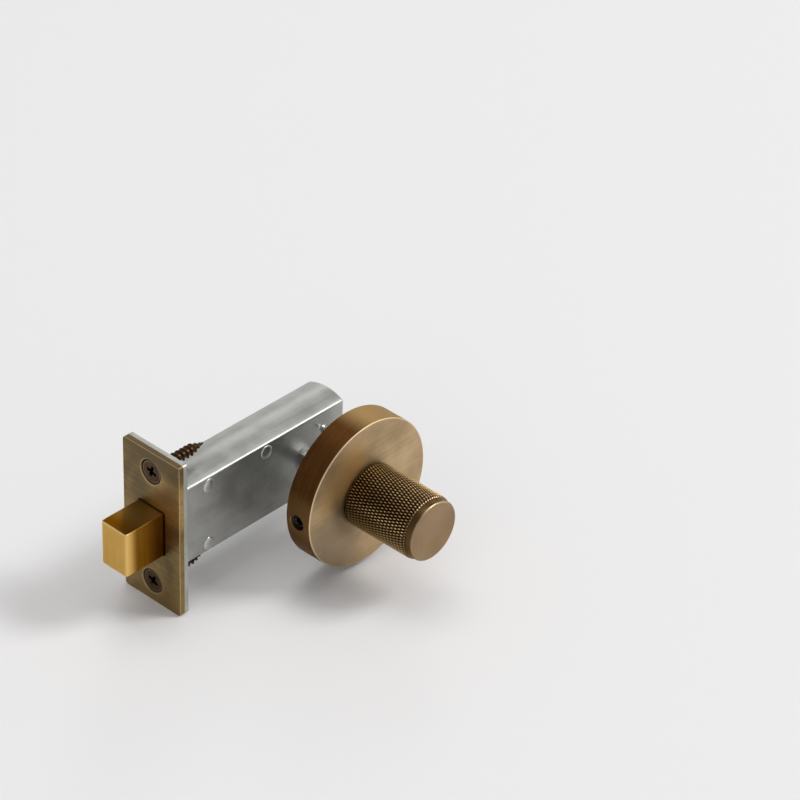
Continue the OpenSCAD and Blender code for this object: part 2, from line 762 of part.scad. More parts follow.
rose_cover();
fixing_plate();
fixing_plate_screws();
rose_grub_screw();
neck_bush();
thrust_washer();
knob();
neck_circlip();
spindle_cross_pin();
spindle();
faceplate();
faceplate_screws();
forend();
case_near_half();
case_far_half();
case_rivets();
bolt_guide();
detent_spring();
follower();
crank_pin();
bolt();
bolt_tail();
bolt_rivets();
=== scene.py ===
"""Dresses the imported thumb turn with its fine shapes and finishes, and sets the studio round it.

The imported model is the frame: +Z up, the spindle along Y, the door's face at y = 0, the knob
towards -Y and the bolt towards -X. Meshes are built in millimetres and turned into metres when
they become pieces. Every finish is procedural and reads the object's own coordinates.
"""

import logging
import math
from collections.abc import Callable, Mapping, Sequence
from dataclasses import dataclass, field
from enum import Enum
from functools import cached_property
from typing import NamedTuple

import bmesh
import bpy
from mathutils import Matrix, Vector


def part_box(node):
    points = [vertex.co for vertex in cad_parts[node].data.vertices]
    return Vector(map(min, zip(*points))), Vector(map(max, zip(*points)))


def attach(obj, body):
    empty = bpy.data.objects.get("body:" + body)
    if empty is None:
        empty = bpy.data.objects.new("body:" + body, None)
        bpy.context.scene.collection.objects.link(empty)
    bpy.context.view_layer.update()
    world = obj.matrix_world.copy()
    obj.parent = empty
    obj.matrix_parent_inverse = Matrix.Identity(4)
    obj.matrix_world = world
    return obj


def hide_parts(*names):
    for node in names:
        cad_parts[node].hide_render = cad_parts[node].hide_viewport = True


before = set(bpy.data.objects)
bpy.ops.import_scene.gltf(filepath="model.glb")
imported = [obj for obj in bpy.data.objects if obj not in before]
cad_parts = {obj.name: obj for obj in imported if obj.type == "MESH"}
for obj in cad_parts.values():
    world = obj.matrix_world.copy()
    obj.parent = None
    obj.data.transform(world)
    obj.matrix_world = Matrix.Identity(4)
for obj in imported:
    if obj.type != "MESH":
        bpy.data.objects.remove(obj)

MM = 0.001
# How far a cutter stands out of what it cuts, and how far one that goes through everything reaches.
PAST = 1.0
FAR = 20.0
# How far apart the faceplate's two screws are.
PLATE_SCREWS = 42.0
LOG = logging.getLogger("thumb_turn")

Point2 = tuple[float, float]
Corner = Sequence[float]
Colour = tuple[float, float, float, float]


def linear(code: str) -> Colour:
    """The colour that a shader takes, from a screen colour's six hexadecimal digits."""
    parts = [int(code[i:i + 2], 16) / 255 for i in (0, 2, 4)]
    return *(p / 12.92 if p <= 0.04045 else ((p + 0.055) / 1.055) ** 2.4 for p in parts), 1.0


class Triple(NamedTuple):
    """One number or node output for each axis."""

    x: "Term"
    y: "Term"
    z: "Term"


class NodeBox:
    """The box of a CAD node, in millimetres."""

    def __init__(self, node: str) -> None:
        """Reads the box from the frame.

        Args:
            node: The node's name.
        """
        low, high = (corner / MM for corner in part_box(node))
        self.low, self.high = Triple(*low), Triple(*high)
        self.size = Triple(*(h - l for l, h in zip(low, high)))
        self.middle = Triple(*((h + l) / 2 for l, h in zip(low, high)))


def box_of(node: str) -> NodeBox:
    """A dataclass field that holds a CAD node's box."""
    return field(default_factory=lambda: NodeBox(node))


def rounded(corners: Sequence[Corner], steps: int = 4) -> list[Point2]:
    """Rounds the corners of a closed outline.

    Args:
        corners: The corners in order, each as x, y and, where it has one, its radius.
        steps: How many straight parts an arc has.

    Returns:
        The outline's points in order.
    """
    outline: list[Point2] = []
    for i, (x, y, *radius) in enumerate(corners):
        if not any(radius):
            outline.append((x, y))
            continue
        here = Vector((x, y))
        back = (Vector(corners[i - 1][:2]) - here).normalized()
        ahead = (Vector(corners[(i + 1) % len(corners)][:2]) - here).normalized()
        half = back.angle(ahead) / 2
        reach = radius[0] / math.tan(half)
        centre = here + (back + ahead).normalized() * (radius[0] / math.sin(half))
        start, end = here + back * reach - centre, here + ahead * reach - centre
        turn = math.atan2(start.x * end.y - start.y * end.x, start.dot(end))
        for step in range(steps + 1):
            c, s = math.cos(turn * step / steps), math.sin(turn * step / steps)
            outline.append((centre.x + start.x * c - start.y * s, centre.y + start.x * s + start.y * c))
    return outline


def rectangle(width: float, height: float, radius: float = 0.0, steps: int = 5) -> list[Point2]:
    """The outline of a rectangle about the origin, anticlockwise, with rounded corners."""
    x, y = width / 2, height / 2
    return rounded([(-x, -y, radius), (x, -y, radius), (x, y, radius), (-x, y, radius)], steps)


def placed(name: str, data: bpy.types.ID) -> bpy.types.Object:
    """Puts a mesh, a lamp or a camera into the scene.

    Args:
        name: The new object's name.
        data: What it shows.

    Returns:
        The object.
    """
    made = bpy.data.objects.new(name, data)
    bpy.context.scene.collection.objects.link(made)
    return made


class Edge(float, Enum):
    """The radii of the edges that several pieces share, in millimetres."""

    HAIR = 0.05
    FINE = 0.1
    LIGHT = 0.15
    SOFT = 0.2
    ROUND = 0.3


class Cut(Enum):
    """How one solid is combined with another."""

    REMOVE = "DIFFERENCE"
    ADD = "UNION"


class Solid:
    """A closed mesh in millimetres that is built, moved and cut in code."""

    def __init__(self, mesh: bmesh.types.BMesh) -> None:
        """Keeps the mesh that it works on."""
        self.mesh = mesh

    @classmethod
    def loft(cls, rings: Sequence[Sequence[Corner]], looped: bool = False) -> "Solid":
        """Skins a row of rings that have the same number of points.

        Args:
            rings: The rings in order, each a closed row of points.
            looped: True if the last ring joins the first, or else each end gets a face.

        Returns:
            The closed solid.
        """
        mesh = bmesh.new()
        rows = [[mesh.verts.new(point) for point in ring] for ring in rings]
        for lower, upper in zip(rows, rows[1:] + rows[:1] if looped else rows[1:]):
            for i in range(len(lower)):
                j = (i + 1) % len(lower)
                mesh.faces.new((lower[i], lower[j], upper[j], upper[i]))
        if not looped:
            mesh.faces.new(rows[0][::-1])
            mesh.faces.new(rows[-1])
        return cls(mesh).tidied()

    @classmethod
    def lathe(cls, corners: Sequence[Corner], steps: int, arc: int = 3) -> "Solid":
        """Turns a profile round the local Z axis.

        Args:
            corners: The profile, each corner as radius, height and its rounding. It starts and
                ends on the axis, or else it is closed in itself.
            steps: How many parts the circle has.
            arc: How many parts a rounding has.

        Returns:
            The turned solid.
        """
        angles = [2 * math.pi * i / steps for i in range(steps)]
        rings = [[(r * math.cos(a), r * math.sin(a), h) for a in angles]
                 for r, h in rounded(corners, arc)]
        return cls.loft(rings, looped=corners[0][0] > 0)

    @classmethod
    def prism(cls, outline: Callable[[float], Sequence[Point2]], low: float, high: float,
              low_rim: float = 0.0, high_rim: float = 0.0, steps: int = 3) -> "Solid":
        """Raises an outline from one height to another, with rounded rims.

        Args:
            outline: Gives the outline's points for an inset in millimetres.
            low: Height of the lower face.
            high: Height of the upper face.
            low_rim: Radius of the lower rim.
            high_rim: Radius of the upper rim.
            steps: How many parts a rounded rim has.

        Returns:
            The solid.
        """
        quarter = [math.pi / 2 * i / steps for i in range(steps + 1)]
        layers = [(rim * (1 - math.sin(a)), height + side * rim * (1 - math.cos(a)))
                  for rim, height, side in ((low_rim, low, 1), (high_rim, high, -1))
                  for a in (quarter[::side] if rim else quarter[-1:])]
        return cls.loft([[(x, y, h) for x, y in outline(inset)] for inset, h in layers])

    def tidied(self) -> "Solid":
        """Merges points that meet, drops faces without area and points all faces outwards.

        Returns:
            The same solid.
        """
        bmesh.ops.remove_doubles(self.mesh, verts=self.mesh.verts, dist=1e-5)
        bmesh.ops.dissolve_degenerate(self.mesh, dist=1e-6, edges=self.mesh.edges)
        bmesh.ops.recalc_face_normals(self.mesh, faces=self.mesh.faces)
        return self

    def moved(self, matrix: Matrix) -> "Solid":
        """Moves the solid and returns it."""
        bmesh.ops.transform(self.mesh, matrix=matrix, verts=self.mesh.verts)
        return self

    def as_object(self, name: str) -> bpy.types.Object:
        """Writes the mesh as it is into a new object of the scene.

        Args:
            name: The object's name.

        Returns:
            The object.
        """
        data = bpy.data.meshes.new(name)
        self.mesh.to_mesh(data)
        return placed(name, data)

    def combined(self, way: Cut, tools: Sequence["Solid"]) -> "Solid":
        """Cuts this solid with others or joins them to it.

        Args:
            way: What is done with each tool.
            tools: The other solids, which are used up.

        Returns:
            The combined solid.
        """
        body = self.as_object("body")
        helpers = [tool.as_object("tool") for tool in tools]
        for helper in helpers:
            step = body.modifiers.new("step", "BOOLEAN")
            step.operation, step.solver, step.object = way.value, "EXACT", helper
        graph = bpy.context.evaluated_depsgraph_get()
        result = bmesh.new()
        result.from_mesh(body.evaluated_get(graph).to_mesh())
        for used in (body, *helpers):
            bpy.data.meshes.remove(used.data)
        return Solid(result).tidied()

    def cut(self, *tools: "Solid") -> "Solid":
        """The solid without its tools."""
        return self.combined(Cut.REMOVE, tools)

    def joined(self, *others: "Solid") -> "Solid":
        """The solid and the others as one."""
        return self.combined(Cut.ADD, others)

    def eased(self, width: float, least_angle: float,
              keep: Callable[[bmesh.types.BMEdge], bool] = lambda edge: True) -> "Solid":
        """Rounds the sharp edges.

        Args:
            width: How far the rounding reaches from an edge.
            least_angle: Edges that bend less than this, in degrees, stay as they are.
            keep: Picks the sharp edges that are rounded.

        Returns:
            The same solid.
        """
        bmesh.ops.dissolve_limit(self.mesh, angle_limit=math.radians(0.05), verts=self.mesh.verts,
                                 edges=self.mesh.edges)
        least = math.radians(least_angle)
        chosen = [edge for edge in self.mesh.edges
                  if edge.is_manifold and abs(edge.calc_face_angle_signed(0.0)) > least and keep(edge)]
        bmesh.ops.bevel(self.mesh, geom=chosen, offset=width, segments=2, profile=0.5,
                        affect="EDGES", clamp_overlap=True)
        return self.tidied()

    def piece(self, name: str, body: str, finish: "Finish", node: str, sharp: float = 35.0) -> None:
        """Turns the solid into a finished piece of the part.

        Args:
            name: The piece's name.
            body: The body that it moves with.
            finish: What its surface is made of.
            node: The CAD node that it stands for.
            sharp: The angle in degrees past which an edge isn't shaded smooth.
        """
        self.moved(Matrix.Scale(MM, 4))
        for face in self.mesh.faces:
            face.smooth = True
        for edge in self.mesh.edges:
            edge.smooth = edge.is_manifold and edge.calc_face_angle(0.0) < math.radians(sharp)
        made = self.as_object(name)
        made.modifiers.new("flat_faces_stay_flat", "WEIGHTED_NORMAL").keep_sharp = True
        finish.dress(made)
        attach(made, body)
        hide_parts(node)
        LOG.info("%s: %d faces on body %s", name, len(made.data.polygons), body)


class Value:
    """One output of a node, which Python's operators work on by adding Math nodes."""

    def __init__(self, shader: "Shader", socket: bpy.types.NodeSocket | None) -> None:
        """Keeps the output and the node tree that it belongs to."""
        self.shader, self.socket = shader, socket

    def _math(self, operation: str, *terms: "Term") -> "Value":
        """Adds a Math node that works on the terms."""
        return self.shader.node("ShaderNodeMath", {"operation": operation}, dict(enumerate(terms)))

    def __add__(self, other: "Term") -> "Value":
        """This plus the other."""
        return self._math("ADD", self, other)

    __radd__ = __add__

    def __sub__(self, other: "Term") -> "Value":
        """This less the other."""
        return self._math("SUBTRACT", self, other)

    def __rsub__(self, other: "Term") -> "Value":
        """The other less this."""
        return self._math("SUBTRACT", other, self)

    def __mul__(self, other: "Term") -> "Value":
        """This times the other."""
        return self._math("MULTIPLY", self, other)

    __rmul__ = __mul__

    def __truediv__(self, other: "Term") -> "Value":
        """This over the other."""
        return self._math("DIVIDE", self, other)

    def __rtruediv__(self, other: "Term") -> "Value":
        """The other over this."""
        return self._math("DIVIDE", other, self)

    def __neg__(self) -> "Value":
        """This with its sign changed."""
        return self._math("MULTIPLY", self, -1.0)

    def __abs__(self) -> "Value":
        """This without its sign."""
        return self._math("ABSOLUTE", self)

    def root(self) -> "Value":
        """The square root of this."""
        return self._math("SQRT", self)

    def higher(self, other: "Term") -> "Value":
        """The larger of this and the other."""
        return self._math("MAXIMUM", self, other)

    def lower(self, other: "Term") -> "Value":
        """The smaller of this and the other."""
        return self._math("MINIMUM", self, other)

    def near(self, level: float, width: float) -> "Value":
        """1 where this is at a level, falling to 0 a width away from it."""
        return abs(self - level).rise(0.0, width, 1.0, 0.0)

    def rise(self, start: float, end: float, low: float = 0.0, high: float = 1.0) -> "Value":
        """Goes smoothly from a low level to a high one as this goes from start to end."""
        return self.shader.node("ShaderNodeMapRange", {"interpolation_type": "SMOOTHSTEP"}, {
            "Value": self, "From Min": start, "From Max": end, "To Min": low, "To Max": high})


Term = Value | float


class Shader:
    """The node tree of a material or of the world while it is built."""

    def __init__(self, owner: bpy.types.Material | bpy.types.World) -> None:
        """Empties the owner's node tree and works on it.

        Args:
            owner: The material or the world.
        """
        owner.use_nodes = True
        self.owner, self.tree = owner, owner.node_tree
        self.tree.nodes.clear()

    def node(self, kind: str, settings: Mapping[str, object] | None = None,
             inputs: Mapping[str | int, object] | None = None, output: str | None = None) -> Value:
        """Adds one node.

        Args:
            kind: The node's type.
            settings: Its own settings, which are set first; "stops" fills a colour ramp.
            inputs: A value, a screen colour's digits or a Value for each socket in use, by the
                socket's name, identifier or number.
            output: The output that is wanted, or None for the first one in use.

        Returns:
            The output, which holds no socket where the node has none.
        """
        made = self.tree.nodes.new(kind)
        for key, setting in (settings or {}).items():
            if key != "stops":
                setattr(made, key, setting)
                continue
            elements = made.color_ramp.elements
            while len(elements) < len(setting):
                elements.new(1.0)
            for element, (place, colour) in zip(elements, setting):
                element.position, element.color = place, colour
        sockets = [socket for socket in made.inputs if socket.enabled]
        for key, term in (inputs or {}).items():
            socket = sockets[key] if isinstance(key, int) else next(
                s for s in sockets if key in (s.name, s.identifier))
            if isinstance(term, Value):
                self.tree.links.new(term.socket, socket)
            else:
                socket.default_value = linear(term) if isinstance(term, str) else term
        wanted = [s for s in made.outputs if s.enabled and output in (None, s.name)]
        return Value(self, wanted[0] if wanted else None)

    def split(self, vector: Value) -> Triple:
        """A vector's three numbers."""
        return Triple(*(self.node("ShaderNodeSeparateXYZ", None, {"Vector": vector}, axis)
                        for axis in "XYZ"))

    def noise(self, vector: Value, detail: float = 3.0, roughness: float = 0.55) -> Value:
        """Noise from 0 to 1 round a half, with about one feature to a unit of the vector."""
        return self.node("ShaderNodeTexNoise", {"noise_dimensions": "3D"}, {
            "Vector": vector, "Scale": 1.0, "Detail": detail, "Roughness": roughness}, "Fac")

    def finish(self, base: Value | str, metallic: float, roughness: Term,
               height: Value | None = None, depth: float = 0.0,
               **fixed: float | str) -> bpy.types.Material:
        """Adds the surface shader and the material's output.

        Args:
            base: The base colour.
            metallic: 1 for a metal and 0 for anything else.
            roughness: The roughness.
            height: The height of the surface's fine relief, from 0 to 1.
            depth: How deep that relief is, in millimetres.
            fixed: Numbers and colours for the shader's other sockets, by name with spaces as
                underscores.

        Returns:
            The material.
        """
        inputs: dict[str, object] = {"Base Color": base, "Metallic": metallic, "Roughness": roughness}
        inputs.update({key.replace("_", " "): number for key, number in fixed.items()})
        if height is not None:
            inputs["Normal"] = self.node("ShaderNodeBump", None, {
                "Strength": 1.0, "Distance": depth * MM, "Height": height})
        surface = self.node("ShaderNodeBsdfPrincipled", None, inputs)
        self.node("ShaderNodeOutputMaterial", None, {"Surface": surface})
        return self.owner


# The share of a coat, or what gives it at the shaded point, and the coat's colour.
Coat = tuple["Term | Callable[[Skin], Value]", "Value | str"]


class Skin(Shader):
    """A material while it is built, with the shaded point at rest, in millimetres."""

    # The share of clean metal and the height of its fine lines, which a brushed metal fills in.
    tone: Value
    fine: Value

    def __init__(self, name: str) -> None:
        """Starts an empty material and splits the shaded point.

        Args:
            name: The material's name.
        """
        super().__init__(bpy.data.materials.new(name))
        metres = self.node("ShaderNodeTexCoord", output="Object")
        self.x, self.y, self.z = self.split(self.node(
            "ShaderNodeVectorMath", {"operation": "SCALE"}, {"Vector": metres, "Scale": 1 / MM}))

    @cached_property
    def facing(self) -> Triple:
        """The direction in which the surface faces at rest."""
        return self.split(self.node("ShaderNodeTexCoord", output="Normal"))

    @cached_property
    def out(self) -> Value:
        """The distance from the spindle's axis."""
        return (self.x * self.x + self.z * self.z).root()

    @cached_property
    def from_screw(self) -> Value:
        """The distance from the axis of the nearer of the faceplate's screws."""
        across, along = self.y - NodeBox("faceplate").middle.y, abs(self.z) - PLATE_SCREWS / 2
        return (across * across + along * along).root()

    def towards(self, degrees: float) -> Value:
        """1 on the side of the spindle at an angle from +X to +Z, 0 square to it, -1 opposite."""
        angle = math.radians(degrees)
        return (self.x * math.cos(angle) + self.z * math.sin(angle)) / self.out

    def vector(self, x: Term, y: Term, z: Term) -> Value:
        """One vector from three numbers."""
        return self.node("ShaderNodeCombineXYZ", None, {"X": x, "Y": y, "Z": z})

    def clouds(self, size: float, detail: float = 3.0, roughness: float = 0.55) -> Value:
        """Noise with features of one size in millimetres."""
        return self.noise(self.vector(self.x / size, self.y / size, self.z / size), detail, roughness)

    def turned_rim(self, radius: float, height: float, band: float) -> Value:
        """1 on the edge of a turned piece, at a height off the door, and 0 a band's width from it."""
        return self.out.rise(radius - band, radius) * self.y.near(-height, band)

    def box_rims(self, node: str, band: float) -> Value:
        """The edges of a boxy CAD node.

        Args:
            node: The node's name.
            band: The width of the band along an edge.

        Returns:
            1 on an edge and 0 a band's width from it.
        """
        box = NodeBox(node)
        x, y, z = (abs(place - middle).rise(size / 2 - band, size / 2) for place, middle, size
                   in zip((self.x, self.y, self.z), box.middle, box.size))
        return (x * y).higher(y * z).higher(x * z)

    def screw_ring(self, radius: float, band: float) -> Value:
        """A ring of wear round each of the faceplate's screws, with a painted highlight that is
        strongest under it and away from the knob.

        Args:
            radius: The ring's radius.
            band: How far from it the ring fades.

        Returns:
            The share of wear and painted highlight.
        """
        half = PLATE_SCREWS / 2
        # How far the point is below the nearer screw's axis, and how far beyond it from the knob.
        below = self.z.rise(-0.1, 0.1, -half, half) - self.z
        past = self.y - NodeBox("faceplate").middle.y
        # Painted highlight: the ring is made stronger under the screw and away from the knob.
        highlight_side = past * 0.6 / 4.4 + below / (abs(below) + 0.05) * 0.5
        return self.from_screw.near(radius, band) * highlight_side.rise(-0.6, 0.9, 0.12, 0.7)

    def coated(self, colour: Value | str, *coats: Coat) -> Value:
        """Lays coats over a colour.

        Args:
            colour: The colour under them.
            coats: The coats in order.

        Returns:
            The colour that shows.
        """
        for share, coat in coats:
            colour = self.node("ShaderNodeMix", {"data_type": "RGBA"}, {
                "Factor_Float": share(self) if callable(share) else share,
                "A_Color": colour, "B_Color": coat})
        return colour


class Lay(Enum):
    """Which way the brush or tool lines of a metal run."""

    ALONG_X = "x"
    ALONG_Y = "y"
    ALONG_Z = "z"
    ROUND_SPINDLE = "round"


@dataclass(frozen=True)
class Lines:
    """The brush or tool lines of a metal.

    Lines round the spindle have a length in turns, the others in millimetres.
    """

    lay: Lay
    length: float = 12.0
    width: float = 0.22

    def read(self, skin: Skin, coarser: float = 1.0, detail: float = 3.0,
             roughness: float = 0.65) -> Value:
        """The height of the lines.

        Args:
            skin: The material.
            coarser: How many times wider and longer the lines are than written.
            detail: How many finer layers they have.
            roughness: How strong the finer layers are.

        Returns:
            The height, from 0 to 1 round a half.
        """
        width, length = self.width * coarser, self.length * coarser
        if self.lay is Lay.ROUND_SPINDLE:
            point = (skin.x / skin.out / length, skin.z / skin.out / length,
                     (skin.y + skin.out) / width)
        else:
            point = (getattr(skin, axis) / (length if axis == self.lay.value else width)
                     for axis in "xyz")
        return skin.noise(skin.vector(*point), detail, roughness)


@dataclass(frozen=True)
class Finish:
    """What a piece's surface is made of: its name, its slot of the record and its two tones."""

    name: str
    slot: str
    base: str
    shade: str

    def surface(self, skin: Skin) -> bpy.types.Material:
        """Builds the finish in an empty material."""
        raise NotImplementedError

    def dress(self, piece: bpy.types.Object) -> None:
        """Gives a piece this finish.

        Args:
            piece: The piece, whose earlier materials are dropped.
        """
        made = bpy.data.materials.get(self.name) or self.surface(Skin(self.name))
        piece.data.materials.clear()
        piece.data.materials.append(made)


@dataclass(frozen=True)
class BrushedMetal(Finish):
    """A brushed metal, tarnished in patches, with coats over it and worn bright in places, partly with
    painted highlights.
    """

    lines: Lines
    # Edges and rings that are worn bright, partly as painted highlights.
    wear_and_highlight: Coat
    coats: tuple[Coat, ...] = ()
    roughness: float = 0.36
    patch: float = 12.0
    patch_share: float = 1.0
    line_share: float = 0.3
    coarser: float = 3.5
    # Painted light: how much the tone rises for each millimetre lower down.
    painted_light_low: float = 0.0
    relief: float = 0.003
    rough_lines: float = 0.14
    rough_patches: float = 0.08
    grazing: str = "ffffff"

    def face(self, skin: Skin) -> Value:
        """The colour where nothing wears it; the share of clean metal and the fine lines are kept.

        Args:
            skin: The material, which gets its tone and its fine lines here.

        Returns:
            The colour.
        """
        skin.fine = self.lines.read(skin)
        patches = (skin.clouds(self.patch, roughness=0.5) - 0.5) * self.patch_share
        broad = (self.lines.read(skin, self.coarser, detail=2.0, roughness=0.55) - 0.5) * self.line_share
        lines = broad + (skin.fine - 0.5) * self.line_share
        # The last term paints the tone lighter lower down, as painted light.
        skin.tone = 0.5 + patches + lines - skin.z * self.painted_light_low
        return skin.coated(self.shade, (skin.tone.rise(0.2, 0.8), self.base), *self.coats)

    def surface(self, skin: Skin) -> bpy.types.Material:
        """Builds the finish in an empty material.

        Args:
            skin: The material.

        Returns:
            The material.
        """
        colour = skin.coated(self.face(skin), self.wear_and_highlight)
        rough = (skin.fine - 0.5) * self.rough_lines - (skin.tone - 0.5) * self.rough_patches
        return skin.finish(colour, 1.0, self.roughness + rough, skin.fine, self.relief,
                           Specular_Tint=self.grazing)


@dataclass(frozen=True)
class TurnedBrass(BrushedMetal):
    """Antique brass that is brushed straight across its front face and turned round its side."""

    turned: Lines = Lines(Lay.ROUND_SPINDLE, 0.3, 0.18)
    # The rose's rim: its dark red-brown is partly the brass's own colour and partly a painted reflection
    # of dark brown wood.
    side_base: str = "694423"
    side_shade: str = "4c3015"
    front_from: float = 0.55

    def side(self, skin: Skin, turned: Value) -> Value:
        """The colour of the side, which the turned lines vary."""
        raise NotImplementedError

    def surface(self, skin: Skin) -> bpy.types.Material:
        """Builds the finish in an empty material.

        Args:
            skin: The material.

        Returns:
            The material.
        """
        face = self.face(skin)
        turned = self.turned.read(skin)
        front = (-skin.facing.y).rise(self.front_from, 0.95)
        colour = skin.coated(self.side(skin, turned), (front, face), self.wear_and_highlight)
        height = front * skin.fine + (1.0 - front) * turned
        roughness = self.roughness + (height - 0.5) * self.rough_lines
        return skin.finish(colour, 1.0, roughness, height, self.relief, Specular_Tint=self.grazing)


@dataclass(frozen=True)
class RoseBrass(TurnedBrass):
    """Antique brass of the rose, with a rim that is lit above and on the bolt's side."""

    rim_top: str = "a28457"
    rim_lit: str = "8e7048"
    top_angle: float = 73.0
    lit_angle: float = 178.0
    lit_share: float = 0.42

    def side(self, skin: Skin, turned: Value) -> Value:
        """The colour of the rim.

        Args:
            skin: The material.
            turned: The fine turned lines.

        Returns:
            The colour.
        """
        broad = self.turned.read(skin, coarser=3.0, detail=2.0, roughness=0.55)
        tone = broad * 0.4 + turned * 0.2 + skin.tone * 0.4
        top = (skin.towards(self.top_angle) + (tone - 0.5) * 0.04).rise(0.86, 0.995)
        lit = skin.towards(self.lit_angle).rise(0.93, 1.0, 0.0, self.lit_share)
        return skin.coated(self.side_shade, (tone.rise(0.3, 0.7), self.side_base),
                           (top, self.rim_top), (lit, self.rim_lit))


@dataclass(frozen=True)
class KnobBrass(TurnedBrass):
    """Antique brass of the knob: bright where the hand rubs the knurl, dark in its grooves."""

    groove: str = "4f3e27"
    crest: str = "86704c"
    crest_rubbed: str = "d2b080"
    crest_lit: str = "e6c696"
    crest_radius: float = 11.0
    crest_band: Point2 = (0.24, 0.09)
    rubbed_from: float = 9.0
    grip_end: float = 35.8
    lit_angle: float = 105.0
    lit_share: float = 0.45
    shaded_angle: float = 195.0
    shaded_share: float = 0.25

    def side(self, skin: Skin, turned: Value) -> Value:
        """The colour of the grip and of the plain side past it.

        Args:
            skin: The material.
            turned: The fine turned lines.

        Returns:
            The colour.
        """
        outwards = ((skin.tone - 0.5) * 8.0 - skin.y).rise(self.rubbed_from, self.grip_end)
        lit = skin.towards(self.lit_angle).rise(0.6, 1.0, 0.0, self.lit_share)
        shaded = skin.towards(self.shaded_angle).rise(0.4, 1.0, 0.0, self.shaded_share)
        crest = skin.coated(self.crest, (outwards, self.crest_rubbed), (lit, self.crest_lit),
                            (shaded, self.groove))
        low, high = (self.crest_radius - under for under in self.crest_band)
        rubbed = (skin.out + (skin.tone - 0.5) * 0.12).rise(low, high)
        plain = skin.coated(self.side_shade, (turned.rise(0.3, 0.7), self.side_base))
        past_grip = (-skin.y).rise(self.grip_end - 0.02, self.grip_end + 0.02)
        return skin.coated(self.groove, (rubbed, crest), (past_grip, plain))


@dataclass(frozen=True)
class PlainMetal(Finish):
    """A plated, cast or blackened metal with soft cloudiness and fine marks."""

    roughness: float = 0.35
    cloud_size: float = 4.0
    grain: float = 0.35
    relief: float = 0.004
    rough_patches: float = 0.12
    lines: Lines = Lines(Lay.ALONG_Z)
    line_share: float = 0.4
    coats: tuple[Coat, ...] = ()

    def surface(self, skin: Skin) -> bpy.types.Material:
        """Builds the finish in an empty material.

        Args:
            skin: The material.

        Returns:
            The material.
        """
        drawn = self.lines.read(skin, roughness=0.6)
        mixed = skin.clouds(self.cloud_size) + (drawn - 0.5) * self.line_share
        colour = skin.coated(self.shade, (mixed.rise(0.3, 0.7), self.base), *self.coats)
        height = skin.clouds(self.grain, detail=2.0) * (1 - self.line_share) + drawn * self.line_share
        roughness = self.roughness + (mixed - 0.5) * self.rough_patches
        return skin.finish(colour, 1.0, roughness, height, self.relief)


@dataclass(frozen=True)
class Nylon(Finish):
    """Moulded nylon with a faint grain."""

    cloud_size: float = 3.0
    grain: float = 0.15
    roughness: float = 0.42
    rough_grain: float = 0.2
    relief: float = 0.004
    refraction: float = 1.53

    def surface(self, skin: Skin) -> bpy.types.Material:
        """Builds the finish in an empty material.

        Args:
            skin: The material.

        Returns:
            The material.
        """
        grain = skin.clouds(self.grain, detail=2.0)
        colour = skin.coated(self.shade, (skin.clouds(self.cloud_size).rise(0.3, 0.7), self.base))
        roughness = self.roughness + (grain - 0.5) * self.rough_grain
        return skin.finish(colour, 0.0, roughness, grain, self.relief, IOR=self.refraction)


ROSE_BRASS = RoseBrass(
    "rose_antique_brass", "rose_brass", "cbb18d", "a48e6d", Lines(Lay.ALONG_X, 14.0, 0.2),
    roughness=0.5, grazing="fff0dc",
    # The front edge, worn bright and widened into a painted highlight on its bevel.
    wear_and_highlight=(lambda s: s.turned_rim(26.0, 10.0, 0.5) * s.fine.rise(0.1, 0.6, 0.7, 1.0) * 0.85,
          "ffe6ba"),
    coats=(
        # Painted shadow of the knob low on the bolt's side, painted warm light above that and painted
        # shade in the corner by the knob.
        (lambda s: s.towards(220.0).rise(0.66, 0.97, 0.0, 0.55) * s.out.rise(8.0, 18.0), "85786a"),
        (lambda s: s.towards(135.0).rise(0.6, 0.97, 0.0, 0.6) * s.out.rise(18.0, 25.0, 1.0, 0.0)
         * s.out.rise(12.0, 17.0, 1.6, 1.0), "e6bd7c"),
        (lambda s: s.towards(205.0).rise(0.5, 0.95, 0.0, 0.5) * s.out.rise(13.0, 18.0, 1.0, 0.0),
         "5a4e3c")))
KNOB_BRASS = KnobBrass(
    "knob_antique_brass", "knob_brass", "9e876c", "8e775b", Lines(Lay.ALONG_Z, 9.0, 0.2),
    line_share=0.22, grazing="fff0d8", turned=Lines(Lay.ROUND_SPINDLE, 0.25, 0.16),
    side_base="664c2f", side_shade="503c24", front_from=0.6,
    # The plain end's edge and the knurl's last ring, worn bright, with a painted highlight that is
    # strongest above.
    wear_and_highlight=(lambda s: s.turned_rim(10.3, 38.3, 0.6).higher(
        s.y.near(-35.68, 0.3) * s.out.rise(10.45, 10.65))
        * s.towards(85.0).rise(0.7, 0.95, 0.2, 1.0) * 0.85, "f6e0b4"))
FACEPLATE_BRASS = BrushedMetal(
    "faceplate_antique_brass", "plate_brass", "937b4d", "66573c", Lines(Lay.ALONG_Y, 9.0, 0.22),
    # Painted light makes the faceplate lighter towards its bottom.
    roughness=0.42, patch=7.0, patch_share=0.9, line_share=0.5, painted_light_low=0.25 / 28.5,
    # The plate's edges worn bright, and a worn ring round each screw with a painted highlight on its
    # lower side away from the knob.
    wear_and_highlight=(lambda s: s.box_rims("faceplate", 0.3).higher(s.screw_ring(4.65, 0.5))
          * s.fine.rise(0.2, 0.6, 0.6, 1.0) * 0.85, "cbb080"),
    coats=(
        # Painted light above the bolt, painted shade below it and painted shade in the gap round each
        # screw's head.
        (lambda s: s.z.rise(2.0, 9.0) * s.z.rise(19.0, 24.0, 1.0, 0.0)
         * s.y.rise(19.0, 29.0, 0.42, 0.0) * s.tone.rise(0.1, 0.7, 0.6, 1.0), "f0c888"),
        (lambda s: s.z.rise(-23.0, -15.0) * s.z.rise(-4.0, -1.0, 1.0, 0.0)
         * s.y.near(17.0, 6.0) * s.tone.rise(0.2, 0.8, 0.6, 0.3), "3f3524"),
        (lambda s: s.from_screw.rise(4.2, 4.35, 0.9, 0.0), "1c150c")))
